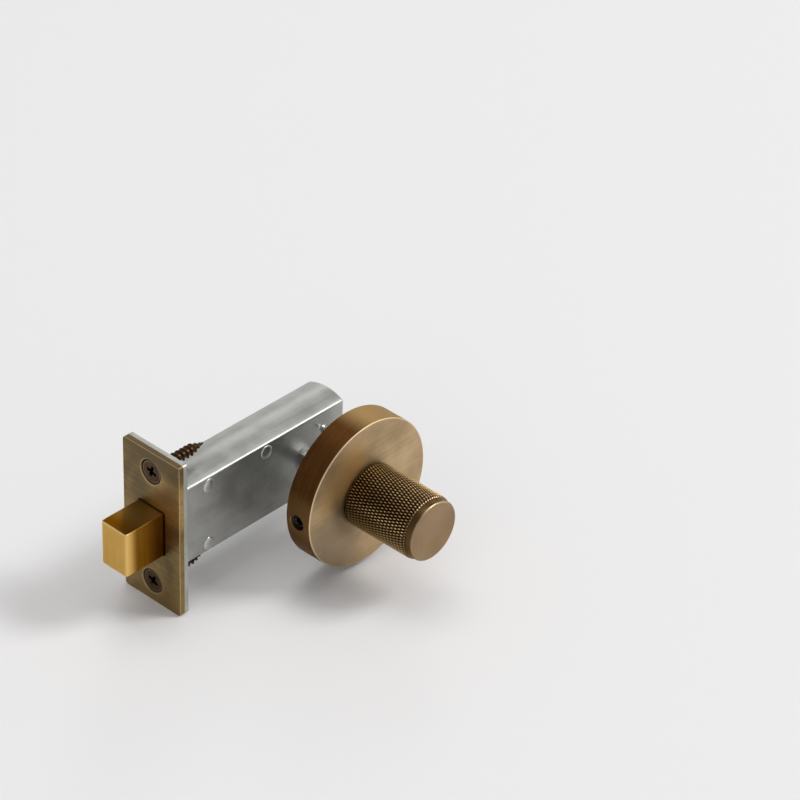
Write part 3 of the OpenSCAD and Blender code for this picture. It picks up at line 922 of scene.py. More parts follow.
BOLT_BRASS = BrushedMetal(
    "bolt_satin_brass", "bolt_brass", "dab46a", "bf9853", Lines(Lay.ALONG_Z, 12.0, 0.28),
    roughness=0.34, patch_share=0.4, line_share=0.42, grazing="ffd695",
    # The edges of its end are worn bright, with a painted highlight along them.
    wear_and_highlight=(lambda s: s.box_rims("bolt", 0.5) * s.x.rise(-75.9, -74.0, 1.0, 0.0)
          * s.fine.rise(0.2, 0.6, 0.6, 1.0), "ffe6ac"),
    coats=(
        # Painted light on the side that faces the knob, a painted reflection of brown wood on top and
        # painted shade along the sides towards the faceplate.
        (lambda s: s.facing.y.rise(-0.95, -0.6, 1.0, 0.0), "ebc172"),
        (lambda s: (s.facing.z.rise(0.6, 0.95) * s.x.rise(-75.0, -64.0, 0.97, 0.4)
                    + (1.0 - s.facing.z.rise(0.6, 0.95)) * s.x.rise(-75.8, -71.2, 0.0, 0.95)
                    + (s.tone - 0.5) * 0.25).lower(1.0).higher(0.0), "704506")))
SCREW_BRONZED = PlainMetal(
    "screw_steel_bronzed", "bronzed_screw", "57412c", "402f1f", 0.4, 1.2,
    coats=(
        # The head's rubbed rim, and painted shade in the cross recess.
        (lambda s: s.from_screw.near(3.75, 0.4) * s.x.rise(-59.85, -59.55, 1.0, 0.0) * 0.7, "8f7b5e"),
        (lambda s: s.x.rise(-60.05, -59.55) * s.x.rise(-58.15, -57.75, 1.0, 0.0)
         * s.from_screw.rise(2.2, 2.5, 1.0, 0.0), "0d0b09")))
SCREW_PLATED = PlainMetal("screw_steel_plated", "plated_screw", "b2b2ab", "a6a59d", 0.3, 2.0,
                          relief=0.001)
SCREW_BLACK = PlainMetal("grub_steel_black", "blackened_steel", "3a3836", "2c2b2a", 0.38, 1.5)
CAST_ZINC = PlainMetal("cast_zinc_bare", "cast_zinc", "a9a9a8", "a09f9d", 0.45, 6.0, grain=0.3,
                       relief=0.02, line_share=0.1)
STEEL_PLATED = PlainMetal("steel_plated_bright", "plated_steel", "b6b7b5", "aaaba8", 0.3, 3.0,
                          relief=0.0015, lines=Lines(Lay.ALONG_Y, 10.0, 0.2))
STEEL_FOREND = PlainMetal("steel_plated_forend", "plated_steel", "b9bab5", "a9aaa4", 0.34, 5.0)
STEEL_CASE = PlainMetal("steel_case_zinc", "case_steel", "b8b9b5", "a8a9a4", 0.38, 7.0,
                        lines=Lines(Lay.ALONG_X, 24.0, 0.25), line_share=0.7)
STEEL_RIVET = PlainMetal("steel_rivet_bright", "rivet_steel", "c4c4c0", "bbbbb7", 0.34, 1.5,
                         relief=0.001)
STEEL_SPRING = PlainMetal("steel_spring_blued", "spring_steel", "6d6f75", "5a5c62", 0.3, 2.0,
                          lines=Lines(Lay.ALONG_X, 8.0, 0.2))
STEEL_DRAWN = PlainMetal("steel_drawn_bare", "plated_steel", "a9aaa8", "979895", 0.3, 4.0,
                         lines=Lines(Lay.ALONG_X, 12.0, 0.25))
NYLON_BLACK = Nylon("nylon_black_moulded", "black_nylon", "2b2b2b", "1f1f1f")
NYLON_WHITE = Nylon("nylon_white_moulded", "white_nylon", "e2ded2", "d3cebf")


def out_of_door(low: float = 0.0) -> Matrix:
    """Puts local zero at a distance from the door's face, and local +Z along the spindle."""
    return Matrix.Translation((0, -low, 0)) @ Matrix.Rotation(math.pi / 2, 4, "X")


def across_lock(x: float, z: float, y: float) -> Matrix:
    """Puts local zero at a place of the lock, and local +Z across it into the door."""
    return Matrix.Translation((x, y, z)) @ Matrix.Rotation(-math.pi / 2, 4, "X")


def into_edge(x: float, y: float, z: float = 0.0) -> Matrix:
    """Puts local zero at a place, local +Z into the door's edge and local x along Y."""
    turned = Matrix(((0, 0, 1, 0), (1, 0, 0, 0), (0, 1, 0, 0), (0, 0, 0, 1)))
    return Matrix.Translation((x, y, z)) @ turned


def box_between(low: Corner, high: Corner) -> Solid:
    """A box with sharp edges between its lowest and its highest corner."""
    outline = [(low[0], low[1]), (high[0], low[1]), (high[0], high[1]), (low[0], high[1])]
    return Solid.loft([[(x, y, z) for x, y in outline] for z in (low[2], high[2])])


def bar(radius: float, low: float, high: float, edge: float = 0.0, steps: int = 64) -> Solid:
    """A round bar along local Z from a low to a high end, with rounded edges."""
    corners = [(0.0, low), (radius, low, edge), (radius, high, edge), (0.0, high)]
    return Solid.lathe(corners, steps)


@dataclass(frozen=True)
class Thread:
    """A screw thread along local Z, as one helical skin with closed ends."""

    root: float
    crest: float
    pitch: float
    start: float
    end: float
    point: float = 0.0
    tip: float = 0.3
    ridge: float = 0.5
    run_in: float = 0.4
    steps: int = 40
    rows: int = 8

    def solid(self) -> Solid:
        """Builds the threaded bar.

        Returns:
            The solid, which is exactly round at both ends.
        """
        turns = math.ceil((self.end - self.start) / self.pitch) + 2
        mesh = bmesh.new()
        points = [[mesh.verts.new(self._point(row, step)) for step in range(self.steps)]
                  for row in range(turns * self.rows)]
        for row in range(len(points) - self.rows):
            for step in range(self.steps):
                # Past its last step a row goes on as the row that lies one turn higher.
                ahead, there = (row, step + 1) if step + 1 < self.steps else (row + self.rows, 0)
                if ahead + 1 < len(points):
                    mesh.faces.new((points[row][step], points[ahead][there],
                                    points[ahead + 1][there], points[row + 1][step]))
        bmesh.ops.remove_doubles(mesh, verts=mesh.verts, dist=1e-4)
        bmesh.ops.dissolve_degenerate(mesh, dist=1e-5, edges=mesh.edges)
        flat = [face for face in mesh.faces if face.calc_area() < 1e-9]
        bmesh.ops.delete(mesh, geom=flat, context="FACES")
        bmesh.ops.holes_fill(mesh, edges=[edge for edge in mesh.edges if edge.is_boundary], sides=0)
        return Solid(mesh).tidied()

    def _point(self, row: int, step: int) -> tuple[float, float, float]:
        """One point of the helical skin.

        Args:
            row: The row along the thread.
            step: The step round it.

        Returns:
            The point.
        """
        turn = step / self.steps
        height = self.start + (row / self.rows - 1 + turn) * self.pitch
        height = min(max(height, self.start), self.end)
        tooth = max(0.0, 1 - abs((row % self.rows) / self.rows - 0.5) / self.ridge)
        inside = min(height - self.start, self.end - height)
        run_in = min(inside / (self.run_in * self.pitch), 1)
        taper = min(1.0, (self.end - height) / self.point) if self.point else 1.0
        root = self.tip + (self.root - self.tip) * taper
        crest = self.tip + (self.crest - self.tip) * taper
        radius = root + (crest - root) * tooth * max(0.0, run_in)
        angle = 2 * math.pi * turn
        return radius * math.cos(angle), radius * math.sin(angle), height


@dataclass(frozen=True)
class WoodScrew:
    """A countersunk wood screw with a cross recess, built with its head's face at local zero."""

    length: float
    thread_start: float
    head_radius: float = 3.85
    head_edge: float = 0.08
    head_rim: float = 0.22
    head_height: float = 2.2
    head_fillet: float = 0.4
    shank_radius: float = 1.5
    thread_radius: float = 2.0
    root_radius: float = 1.35
    pitch: float = 1.8
    point: float = 5.0
    ridge: float = 0.24
    cross_width: float = 4.3
    cross_arm: float = 1.15
    cross_taper: float = 0.45
    cross_bend: float = 1.45
    cross_layers: tuple[Point2, ...] = ((1.04, -0.2), (1.0, 0.0), (0.5, 1.445), (0.16, 1.7))

    def _cross(self, scale: float, height: float) -> list[tuple[float, float, float]]:
        """The outline of the cross at one height.

        Args:
            scale: How much of its full width is left there.
            height: The height.

        Returns:
            The points: for each quarter the end of a wing and the corner between two wings.
        """
        wing = self.cross_width / 2 * scale
        arm = self.cross_arm / 2 * (1 - self.cross_taper + self.cross_taper * scale)
        inner = arm * self.cross_bend
        return [(x * c - y * s, x * s + y * c, height)
                for c, s in ((1, 0), (0, 1), (-1, 0), (0, -1))
                for x, y in ((wing, -arm), (wing, arm), (inner, arm), (arm, inner))]

    def solid(self) -> Solid:
        """Builds the screw.

        Returns:
            The solid, along local +Z.
        """
        shank_end = self.thread_start + PAST
        head = Solid.lathe([
            (0, 0), (self.head_radius, 0, self.head_edge),
            (self.head_radius, self.head_rim, Edge.HAIR),
            (self.shank_radius, self.head_height, self.head_fillet),
            (self.shank_radius, shank_end), (0, shank_end)], steps=64, arc=4)
        thread = Thread(self.root_radius, self.thread_radius, self.pitch, self.thread_start,
                        self.length, self.point, ridge=self.ridge)
        recess = Solid.loft([self._cross(*layer) for layer in self.cross_layers])
        return head.joined(thread.solid()).cut(recess)


@dataclass
class Rose:
    """The round rose: its cover, and what is fixed to the door under it."""

    body: str = "lock_frame"
    front_wall: float = 2.0
    rim_wall: float = 1.8
    front_edge: float = 0.36
    inner_bend: float = 0.6
    neck_hole: float = 6.1
    neck_hole_edge: float = 0.12
    grub_height: float = 4.4
    grub_tilt: float = 2.5
    grub_hole: float = 2.75
    grub_mouth: float = 3.0
    grub_chamfer: Point2 = (-0.22, 0.03)
    grub_radius: float = 2.5
    grub_root: float = 2.1
    grub_edge: float = 0.25
    grub_pitch: float = 0.8
    grub_thread: Point2 = (0.35, 3.9)
    grub_length: float = 4.2
    grub_sunk: float = 1.0
    tapped_radius: float = 2.55
    tapped_ends: Point2 = (15.0, 30.0)
    socket_width: float = 2.5
    socket_depth: float = 2.0
    socket_mouth: float = 1.9
    socket_lead: float = 0.3
    socket_point: float = 0.5
    floor_thickness: float = 2.4
    floor_bend: float = 0.8
    plate_rim: float = 3.4
    plate_bore: float = 7.0
    boss_height: float = 5.0
    boss_radius: float = 5.0
    boss_edge: float = 0.25
    boss_foot: float = 5.9
    boss_start: float = 0.5
    boss_bend: float = 0.7
    boss_draft: float = 0.02
    screw_spacing: float = 30.0
    screw_sunk: float = 0.25
    screw_hole: float = 2.15
    sink_mouth: float = 4.27
    sink_depth: float = 1.98
    bush_bore: float = 5.05
    bush_sleeve: float = 6.05
    bush_flange: float = 1.0
    washer_bore: float = 5.1
    box: NodeBox = box_of("rose_cover")

    def at_grub(self, out: float = 0.0) -> Matrix:
        """Puts local +Z along the grub screw's axis, and local zero some way out on it."""
        tilt = Matrix.Rotation(math.radians(-90 - self.grub_tilt), 4, "Y")
        return Matrix.Translation((0, -self.grub_height, 0)) @ tilt @ Matrix.Translation((0, 0, out))

    def cover(self) -> None:
        """The turned cup that shows, with the grub screw's hole in its rim."""
        radius, height = self.box.size.x / 2, self.box.size.y
        inner, ledge = radius - self.rim_wall, height - self.front_wall
        cup = Solid.lathe([
            (radius, 0, Edge.LIGHT), (radius, height, self.front_edge),
            (self.neck_hole, height, self.neck_hole_edge), (self.neck_hole, ledge, Edge.FINE),
            (inner, ledge, self.inner_bend), (inner, 0, Edge.LIGHT)], steps=240, arc=5)
        inside, outside = (radius + place for place in self.grub_chamfer)
        hole = Solid.lathe([
            (0, FAR), (self.grub_hole, FAR), (self.grub_hole, inside), (self.grub_mouth, outside),
            (self.grub_mouth, radius + PAST), (0, radius + PAST)], steps=72)
        made = cup.moved(out_of_door()).cut(hole.moved(self.at_grub()))
        made.piece("rose_cover_turned", self.body, ROSE_BRASS, "rose_cover")

    def fixing_plate(self) -> None:
        """The cast plate inside the rose, with its two screw bosses."""
        box = NodeBox("fixing_plate")
        outer, height, floor, top = box.size.x / 2, box.size.y, self.floor_thickness, self.boss_height
        inner = outer - self.plate_rim
        plate = Solid.lathe([
            (outer, 0, Edge.ROUND), (outer, height, Edge.ROUND), (inner, height, Edge.ROUND),
            (inner, floor, self.floor_bend), (self.plate_bore, floor, Edge.ROUND),
            (self.plate_bore, 0, Edge.SOFT)], steps=128)
        boss = [(0, self.boss_start), (self.boss_foot, self.boss_start), (self.boss_foot, floor),
                (self.boss_radius, floor + self.boss_draft, self.boss_bend),
                (self.boss_radius, top, self.boss_edge), (0, top)]
        sink = [(0, top + PAST), (self.sink_mouth, top + PAST), (self.sink_mouth, top),
                (self.screw_hole, top - self.sink_depth), (self.screw_hole, -PAST), (0, -PAST)]
        bosses, sinks = (
            [Solid.lathe(profile, steps=64).moved(Matrix.Translation((0, y, 0)))
             for y in (-self.screw_spacing / 2, self.screw_spacing / 2)] for profile in (boss, sink))
        tapped = bar(self.tapped_radius, *self.tapped_ends).moved(self.at_grub())
        made = plate.joined(*bosses).cut(*sinks).moved(out_of_door()).cut(tapped)
        made.piece("fixing_plate_cast", self.body, CAST_ZINC, "fixing_plate")

    def fixing_screws(self) -> None:
        """The two wood screws that hold the fixing plate."""
        box = NodeBox("fixing_plate_screws")
        for side, word in ((1, "upper"), (-1, "lower")):
            screw = WoodScrew(box.size.y, self.boss_height - self.screw_sunk).solid()
            screw.moved(across_lock(0, side * self.screw_spacing / 2, box.low.y)).piece(
                f"fixing_plate_screw_{word}", self.body, SCREW_PLATED, "fixing_plate_screws")

    def grub_screw(self) -> None:
        """The threaded grub screw with its hexagon socket."""
        length, deep = self.grub_length, self.grub_length - self.socket_depth
        core = bar(self.grub_root, 0, length, self.grub_edge)
        thread = Thread(self.grub_root, self.grub_radius, self.grub_pitch, *self.grub_thread)
        corner = self.socket_width / 2 / math.cos(math.pi / 6)
        socket = Solid.lathe([(0, length + PAST), (corner, length + PAST), (corner, deep),
                              (0, deep - self.socket_point)], steps=6)
        low, high = length - self.socket_lead, length + self.socket_lead
        mouth = Solid.lathe([(0, high), (self.socket_mouth, high), (self.socket_width / 2, low),
                             (0, low)], steps=48)
        made = core.joined(thread.solid()).cut(socket, mouth)
        made.moved(self.at_grub(self.box.size.x / 2 - self.grub_sunk - length)).piece(
            "grub_screw_threaded", self.body, SCREW_BLACK, "rose_grub_screw")

    def bush_and_washer(self) -> None:
        """The flanged nylon bush in the front wall, and the steel washer behind it."""
        box, flange, sleeve = NodeBox("neck_bush"), self.bush_flange, self.bush_sleeve
        outer, length = box.size.x / 2, box.size.y
        Solid.lathe([
            (outer, 0, Edge.SOFT), (outer, flange, Edge.SOFT), (sleeve, flange, Edge.FINE),
            (sleeve, length, Edge.LIGHT), (self.bush_bore, length, Edge.FINE),
            (self.bush_bore, 0, Edge.SOFT)], steps=96).moved(
                out_of_door(-box.high.y)).piece(
                    "neck_bush_moulded", self.body, NYLON_BLACK, "neck_bush")
        box = NodeBox("thrust_washer")
        outer, height = box.size.x / 2, box.size.y
        Solid.lathe([
            (outer, 0, Edge.FINE), (outer, height, Edge.LIGHT), (self.washer_bore, height, Edge.FINE),
            (self.washer_bore, 0, Edge.FINE)], steps=96).moved(out_of_door(-box.high.y)).piece(
                "thrust_washer_stamped", self.body, STEEL_PLATED, "thrust_washer")

    def build(self) -> None:
        """Builds every piece of the rose."""
        self.cover()
        self.fixing_plate()
        self.fixing_screws()
        self.grub_screw()
        self.bush_and_washer()


@dataclass
class Turn:
    """What turns with the hand: the knob, its clip and pin, and the spindle."""

    body: str = "turn"
    base: float = 10.4
    grip: float = 25.4
    diamonds: int = 66
    rows: int = 18
    cell: int = 4
    knurl_depth: float = 0.5
    land: float = 0.25
    grip_bevel: Point2 = (0.32, 0.3)
    shoulder: float = 0.5
    foot_land: float = 0.4
    centre: float = 0.001
    cap_radius: float = 10.3
    cap_edge: float = 0.55
    neck_radius: float = 5.0
    neck_end: float = 1.0
    neck_edge: float = 0.4
    neck_sunk: float = 0.5
    groove: Point2 = (5.55, 6.45)
    groove_radius: float = 4.6
    clip_radius: float = 4.65
    clip_width: float = 2.0
    clip_edge: float = 0.08
    clip_gap: float = 2.0
    eye_radius: float = 1.4
    eye_hole: float = 0.6
    eye_set: float = 0.2
    eye_angle: float = 26.0
    spindle_width: float = 5.0
    spindle_corner: float = 0.35
    spindle_corner_loss: float = 0.3
    spindle_end: float = 0.5
    square_hole: float = 5.2
    hole_end: float = 22.1
    pin_radius: float = 1.0
    pin_reach: float = 8.0
    box: NodeBox = box_of("knob")

    def _pin(self, half: float, edge: float = 0.0, steps: int = 64) -> Solid:
        """A bar on the cross pin's axis, from its half length."""
        place = Matrix.Translation((0, NodeBox("spindle_cross_pin").middle.y, 0))
        return bar(self.pin_radius, -half, half, edge, steps).moved(place)

    def _knurl_radius(self, step: int, row: int) -> float:
        """The radius at one point of the grip's grid.

        Args:
            step: The step round the knob; a diamond has twice as many as a cell's side.
            row: The step along it.

        Returns:
            The radius: grooves run both ways across the grid, with flat lands between them.
        """
        period = 2 * self.cell
        down, up = (step + row) % period, (step - row) % period
        from_groove = min(down, period - down, up, period - up) / self.cell
        rise = min(from_groove / (1 - self.land), 1.0)
        return self.box.size.x / 2 - self.knurl_depth * (1 - rise)

    def _rings(self) -> list[tuple[int | None, list[tuple[float, float, float]]]]:
        """The rings of the grip and the plain end.

        Returns:
            For each ring from the grip's base on, its row of the knurl or None, and its points.
        """
        count, lines = self.diamonds * 2 * self.cell, self.rows * self.cell
        foot = self.box.size.x / 2 - self.shoulder
        length = self.box.size.y - (self.base - self.neck_end)
        cap = rounded([(foot, self.grip), (self.cap_radius, self.grip),
                       (self.cap_radius, length, self.cap_edge), (self.centre, length)])
        rows = [(None, [radius] * count, 0.0) for radius in (self.centre, foot - self.foot_land, foot)]
        depth, run = self.grip_bevel
        for row in range(1, lines):
            height = row * (self.grip / lines)
            limit = min(height, self.grip - height) / run * depth + foot
            radii = [min(self._knurl_radius(step, row), limit) for step in range(count)]
            rows.append((row, radii, height))
        rows += [(None, [radius] * count, height) for radius, height in cap]
        angles = [2 * math.pi * i / count for i in range(count)]
        return [(row, [(r * math.cos(a), r * math.sin(a), height) for r, a in zip(radii, angles)])
                for row, radii, height in rows]

    def _grip(self) -> Solid:
        """Skins the knob's rings, with each cell split along the groove that it lies on.

        Returns:
            The closed solid.
        """
        mesh = bmesh.new()
        rows = [(row, [mesh.verts.new(point) for point in ring]) for row, ring in self._rings()]
        period = 2 * self.cell
        for (row, lower), (next_row, upper) in zip(rows, rows[1:]):
            for i in range(len(lower)):
                j = (i + 1) % len(lower)
                a, b, c, d = lower[i], lower[j], upper[j], upper[i]
                faces = [(a, b, c, d)]
                if row is not None and next_row is not None:
                    down, up = (i + row + 1) % period, (i - row) % period
                    along_down = min(down, period - down) < min(up + 0.5, period - up - 0.5)
                    faces = [(a, b, d), (b, c, d)] if along_down else [(a, b, c), (a, c, d)]
                for face in faces:
                    mesh.faces.new(face)
        mesh.faces.new(rows[0][1][::-1])
        mesh.faces.new(rows[-1][1])
        return Solid(mesh).tidied()

    def knob(self) -> None:
        """The knob: a knurled grip between its neck and its plain end."""
        groove_start, groove_end = self.groove
        neck_top = self.base + self.neck_sunk
        neck = Solid.lathe([
            (0, self.neck_end), (self.neck_radius, self.neck_end, self.neck_edge),
            *((radius, height, Edge.HAIR) for radius, height in (
                (self.neck_radius, groove_start), (self.groove_radius, groove_start),
                (self.groove_radius, groove_end), (self.neck_radius, groove_end))),
            (self.neck_radius, neck_top), (0, neck_top)], steps=96)
        half = self.square_hole / 2
        hole = box_between((-half, -self.hole_end, -half), (half, PAST, half))
        made = self._grip().moved(out_of_door(self.base)).joined(neck.moved(out_of_door()))
        made.cut(hole, self._pin(self.pin_reach)).piece(
            "knob_knurled", self.body, KNOB_BRASS, "knob", sharp=32.0)

    def circlip(self) -> None:
        """The open ring with two eyes in the neck's groove."""
        box, inner = NodeBox("neck_circlip"), self.clip_radius
        height, outer, edge = box.size.y, inner + self.clip_width, self.clip_edge
        ring = Solid.lathe([(inner, 0, edge), (outer, 0, edge), (outer, height, edge),
                            (inner, height, edge)], steps=128, arc=2)
        middle = inner + self.eye_set + self.eye_radius
        sites = [Matrix.Rotation(math.radians(side * self.eye_angle), 4, "Z")
                 @ Matrix.Translation((0, -middle, 0)) for side in (-1, 1)]
        eyes = [bar(self.eye_radius, 0, height, edge, steps=48).moved(site) for site in sites]
        holes = [bar(self.eye_hole, -PAST, height + PAST, steps=32).moved(site) for site in sites]
        half = self.clip_gap / 2
        gap = box_between((-half, -FAR, -PAST), (half, 0, height + PAST))
        made = ring.joined(*eyes).cut(gap, *holes).moved(out_of_door(-box.high.y))
        made.piece("neck_circlip_sprung", self.body, STEEL_SPRING, "neck_circlip")

    def spindle(self) -> None:
        """The square bar from the knob through the lock, and the pin that holds it."""
        self._pin(self.neck_radius, Edge.SOFT, steps=48).piece(
            "spindle_cross_pin_ground", self.body, STEEL_PLATED, "spindle_cross_pin")
        box, width = NodeBox("spindle"), self.spindle_width
        square = Solid.prism(
            lambda inset: rectangle(width - 2 * inset, width - 2 * inset,
                                    self.spindle_corner - inset * self.spindle_corner_loss, steps=3),
            -box.high.y, -box.low.y, self.spindle_end, self.spindle_end)
        square.moved(out_of_door()).cut(self._pin(self.pin_reach)).piece(
            "spindle_drawn", self.body, STEEL_PLATED, "spindle")

    def build(self) -> None:
        """Builds every piece that turns with the knob."""
        self.knob()
        self.circlip()
        self.spindle()


@dataclass
class EdgePlates:
    """The two plates in the door's edge and their screws."""

    body: str = "lock_frame"
    corner: float = 1.2
    opening: Point2 = (11.8, 16.8)
    opening_corner: float = 0.8
    opening_ease: float = 0.12
    sink_mouth: float = 4.27
    sink_ease: Point2 = (0.15, 0.13)
    sink_slope: float = 4.7 / 4.4
    screw_bore: float = 2.15
    screw_turns: Point2 = (17.0, 24.0)
    edge: float = 0.16
    front: NodeBox = box_of("faceplate")
    back: NodeBox = box_of("forend")

    def _cutters(self) -> list[Solid]:
        """The bolt's opening with eased edges, and the two countersinks, through both plates.

        Returns:
            The three cutters.
        """
        x, y = self.front.low.x, self.front.middle.y
        depth = self.back.high.x - x
        width, height = self.opening
        layers = [(-self.opening_ease, -PAST), (-self.opening_ease, 0.0), (0.0, self.opening_ease),
                  (0.0, depth + PAST)]
        opening = Solid.loft([
            [(across, up, into) for across, up in rectangle(
                width - 2 * inset, height - 2 * inset, self.opening_corner - inset)]
            for inset, into in layers])
        grown, eased = self.sink_ease
        wide, bore = self.sink_mouth + grown, self.screw_bore
        sink = [(0, -PAST), (wide, -PAST), (wide, -0.001), (self.sink_mouth, eased),
                (bore, (self.sink_mouth - bore) / self.sink_slope), (bore, depth + PAST),
                (0, depth + PAST)]
        return [opening.moved(into_edge(x, y))] + [
            Solid.lathe(sink, steps=72).moved(into_edge(x, y, side * PLATE_SCREWS / 2))
            for side in (-1, 1)]

    def plate(self, box: NodeBox, low_edge: float, high_edge: float) -> Solid:
        """One of the two plates, with its opening and holes.

        Args:
            box: The plate's box.
            low_edge: Rounding of the rim that looks out of the door's edge.
            high_edge: Rounding of the other rim.

        Returns:
            The plate.
        """
        raised = Solid.prism(
            lambda inset: rectangle(box.size.y - 2 * inset, box.size.z - 2 * inset,
                                    self.corner - inset),
            0, box.size.x, low_edge, high_edge)
        return raised.moved(into_edge(box.low.x, self.front.middle.y)).cut(*self._cutters())

    def build(self) -> None:
        """Builds the two plates and their screws."""
        self.plate(self.front, self.edge, Edge.HAIR).piece(
            "faceplate_brushed", self.body, FACEPLATE_BRASS, "faceplate")
        self.plate(self.back, Edge.HAIR, Edge.SOFT).piece(
            "forend_plated", self.body, STEEL_FOREND, "forend")
        box = NodeBox("faceplate_screws")
        for side, word, turn in zip((1, -1), ("upper", "lower"), self.screw_turns):
            screw = WoodScrew(box.size.x, self.back.high.x - box.low.x).solid()
            place = into_edge(box.low.x, self.front.middle.y, side * PLATE_SCREWS / 2)
            screw.moved(place @ Matrix.Rotation(math.radians(turn), 4, "Z")).piece(
                f"faceplate_screw_{word}", self.body, SCREW_BRONZED, "faceplate_screws")


@dataclass
class LockCase:
    """The pressed case, its rivets and what stands still inside it."""

    body: str = "lock_frame"
    wall: float = 1.2
    journal_hole: float = 5.05
    rivet_radius: float = 1.5
    rivet_head: float = 2.4
    rivet_head_height: float = 0.6
    rivet_head_rim: float = 0.12
    rivet_inset: float = 5.5
    rivet_dome: float = 0.8
    bend: float = 1.0
    end_edge: float = 0.9
    seam_edge: float = 0.12
    seam_reach: float = 0.05
    seam_width: float = 0.01
    guide_hole: Point2 = (11.3, 16.3)
    guide_mouth: float = 0.4
    spring_foot: float = 3.0
    spring_thickness: float = 0.5
    spring_steps: int = 48
    near: NodeBox = box_of("case_near_half")
    far: NodeBox = box_of("case_far_half")

    @property
    def lock_y(self) -> float:
        """The plane where the two halves meet."""
        return self.near.high.y

    @property
    def radius(self) -> float:
        """The radius of the case's round top and bottom."""
        return self.near.size.z / 2

    def rivet_places(self) -> list[Point2]:
        """The places of the four rivets, from the pieces that they stand beside.

        Returns:
            X and Z of each.
        """
        high = NodeBox("case_rivets").high.z - self.rivet_head
        first = NodeBox("bolt_guide").high.x + self.rivet_inset
        hook = 2 * NodeBox("crank_pin").middle.x - NodeBox("bolt_tail").high.x
        return [(first, high), (first, -high), (hook - self.rivet_inset, high),
                (self.near.high.x - self.rivet_inset, -high)]

    def _section(self, radius: float, half_width: float, bend: float) -> list[Point2]:
        """The case's section: flat at both sides and round above and below.

        Args:
            radius: Radius of the round parts.
            half_width: Distance of the flat sides from the middle.
            bend: Radius between a flat side and a round part.

        Returns:
            The outline, anticlockwise.
        """
        x = half_width - bend
        y = math.sqrt((radius - bend) ** 2 - x ** 2)
        lean = math.atan2(y, x)
        span, bends, rounds = math.pi - 2 * lean, 5, 28
        corner = [(x + bend * math.cos(lean * i / bends), y + bend * math.sin(lean * i / bends))
                  for i in range(bends + 1)]
        angles = [lean + span * i / rounds for i in range(1, rounds)]
        upper = corner + [(radius * math.cos(a), radius * math.sin(a)) for a in angles]
        upper += [(-px, py) for px, py in reversed(corner)]
        return upper + [(-px, -py) for px, py in upper]

    def half(self, box: NodeBox, side: int, name: str, node: str) -> None:
        """One half of the case.

        Args:
            box: The half's box.
            side: -1 for the half towards the knob and 1 for the other.
            name: The piece's name.
            node: The CAD node that it stands for.
        """
        width, reach, wall = self.near.size.y, 3 * self.radius, self.wall
        shell = Solid.prism(lambda inset: self._section(self.radius - inset, width - inset, self.bend),
                            0, box.size.x, 0, self.end_edge, steps=5)
        hollow = Solid.prism(
            lambda inset: self._section(self.radius - wall - inset, width - wall - inset, Edge.ROUND),
            -PAST, box.size.x - wall, 0, Edge.ROUND)
        away = box_between((box.low.x - PAST, self.lock_y - (reach if side > 0 else 0), -reach),
                           (box.high.x + PAST, self.lock_y + (reach if side < 0 else 0), reach))
        holes = [bar(self.journal_hole, -FAR, FAR).moved(across_lock(0, 0, self.lock_y))]
        holes += [bar(self.rivet_radius, -FAR, FAR, steps=40).moved(across_lock(x, z, self.lock_y))
                  for x, z in self.rivet_places()]
        place = into_edge(box.low.x, self.lock_y)
        made = shell.moved(place).cut(hollow.moved(place), away, *holes)
        made.eased(self.seam_edge, least_angle=50.0, keep=self._is_seam).piece(
            name, self.body, STEEL_CASE, node)

    def _is_seam(self, edge: bmesh.types.BMEdge) -> bool:
        """True for an outer edge along the plane where the halves meet."""
        return all(math.hypot(v.co.y - self.lock_y, v.co.z) > self.radius - self.seam_reach
                   and abs(v.co.y - self.lock_y) < self.seam_width
                   and v.co.x < self.near.high.x - self.bend for v in edge.verts)

    def rivets(self) -> None:
        """The four rivets with their domed heads."""
        outside, head, rim, parts = self.near.size.y, self.rivet_head, self.rivet_head_rim, 6
        angles = [math.pi / 2 * step / parts for step in range(1, parts)]
        top = [(self.rivet_radius, outside), (head, outside), (head, outside + rim)]
        top += [(head * math.cos(a) ** self.rivet_dome,
                 outside + rim + (self.rivet_head_height - rim) * math.sin(a)) for a in angles]
        top.append((0.0, outside + self.rivet_head_height))
        profile = [(r, -h) for r, h in reversed(top)] + top
        for index, (x, z) in enumerate(self.rivet_places(), 1):
            made = Solid.lathe(profile, steps=48).moved(across_lock(x, z, self.lock_y))
            made.piece(f"case_rivet_{index}", self.body, STEEL_RIVET, "case_rivets")

    def guide(self) -> None:
        """The nylon guide that the bolt runs through in the case's mouth."""
        box = NodeBox("bolt_guide")
        length, mouth = box.size.x, self.guide_mouth
        guide = Solid.prism(
            lambda inset: self._section(box.size.z / 2 - inset, box.size.y / 2 - inset, Edge.ROUND),
            0, length, Edge.SOFT, Edge.ROUND)
        width, height = self.guide_hole
        layers = [(0, -PAST), (0, length - mouth), (mouth, length), (mouth, length + PAST)]
        hole = Solid.loft([
            [(x, y, h) for x, y in rectangle(width + 2 * grown, height + 2 * grown, Edge.ROUND, 2)]
            for grown, h in layers])
        guide.cut(hole).moved(into_edge(box.low.x, self.lock_y)).piece(
            "bolt_guide_moulded", self.body, NYLON_WHITE, "bolt_guide")

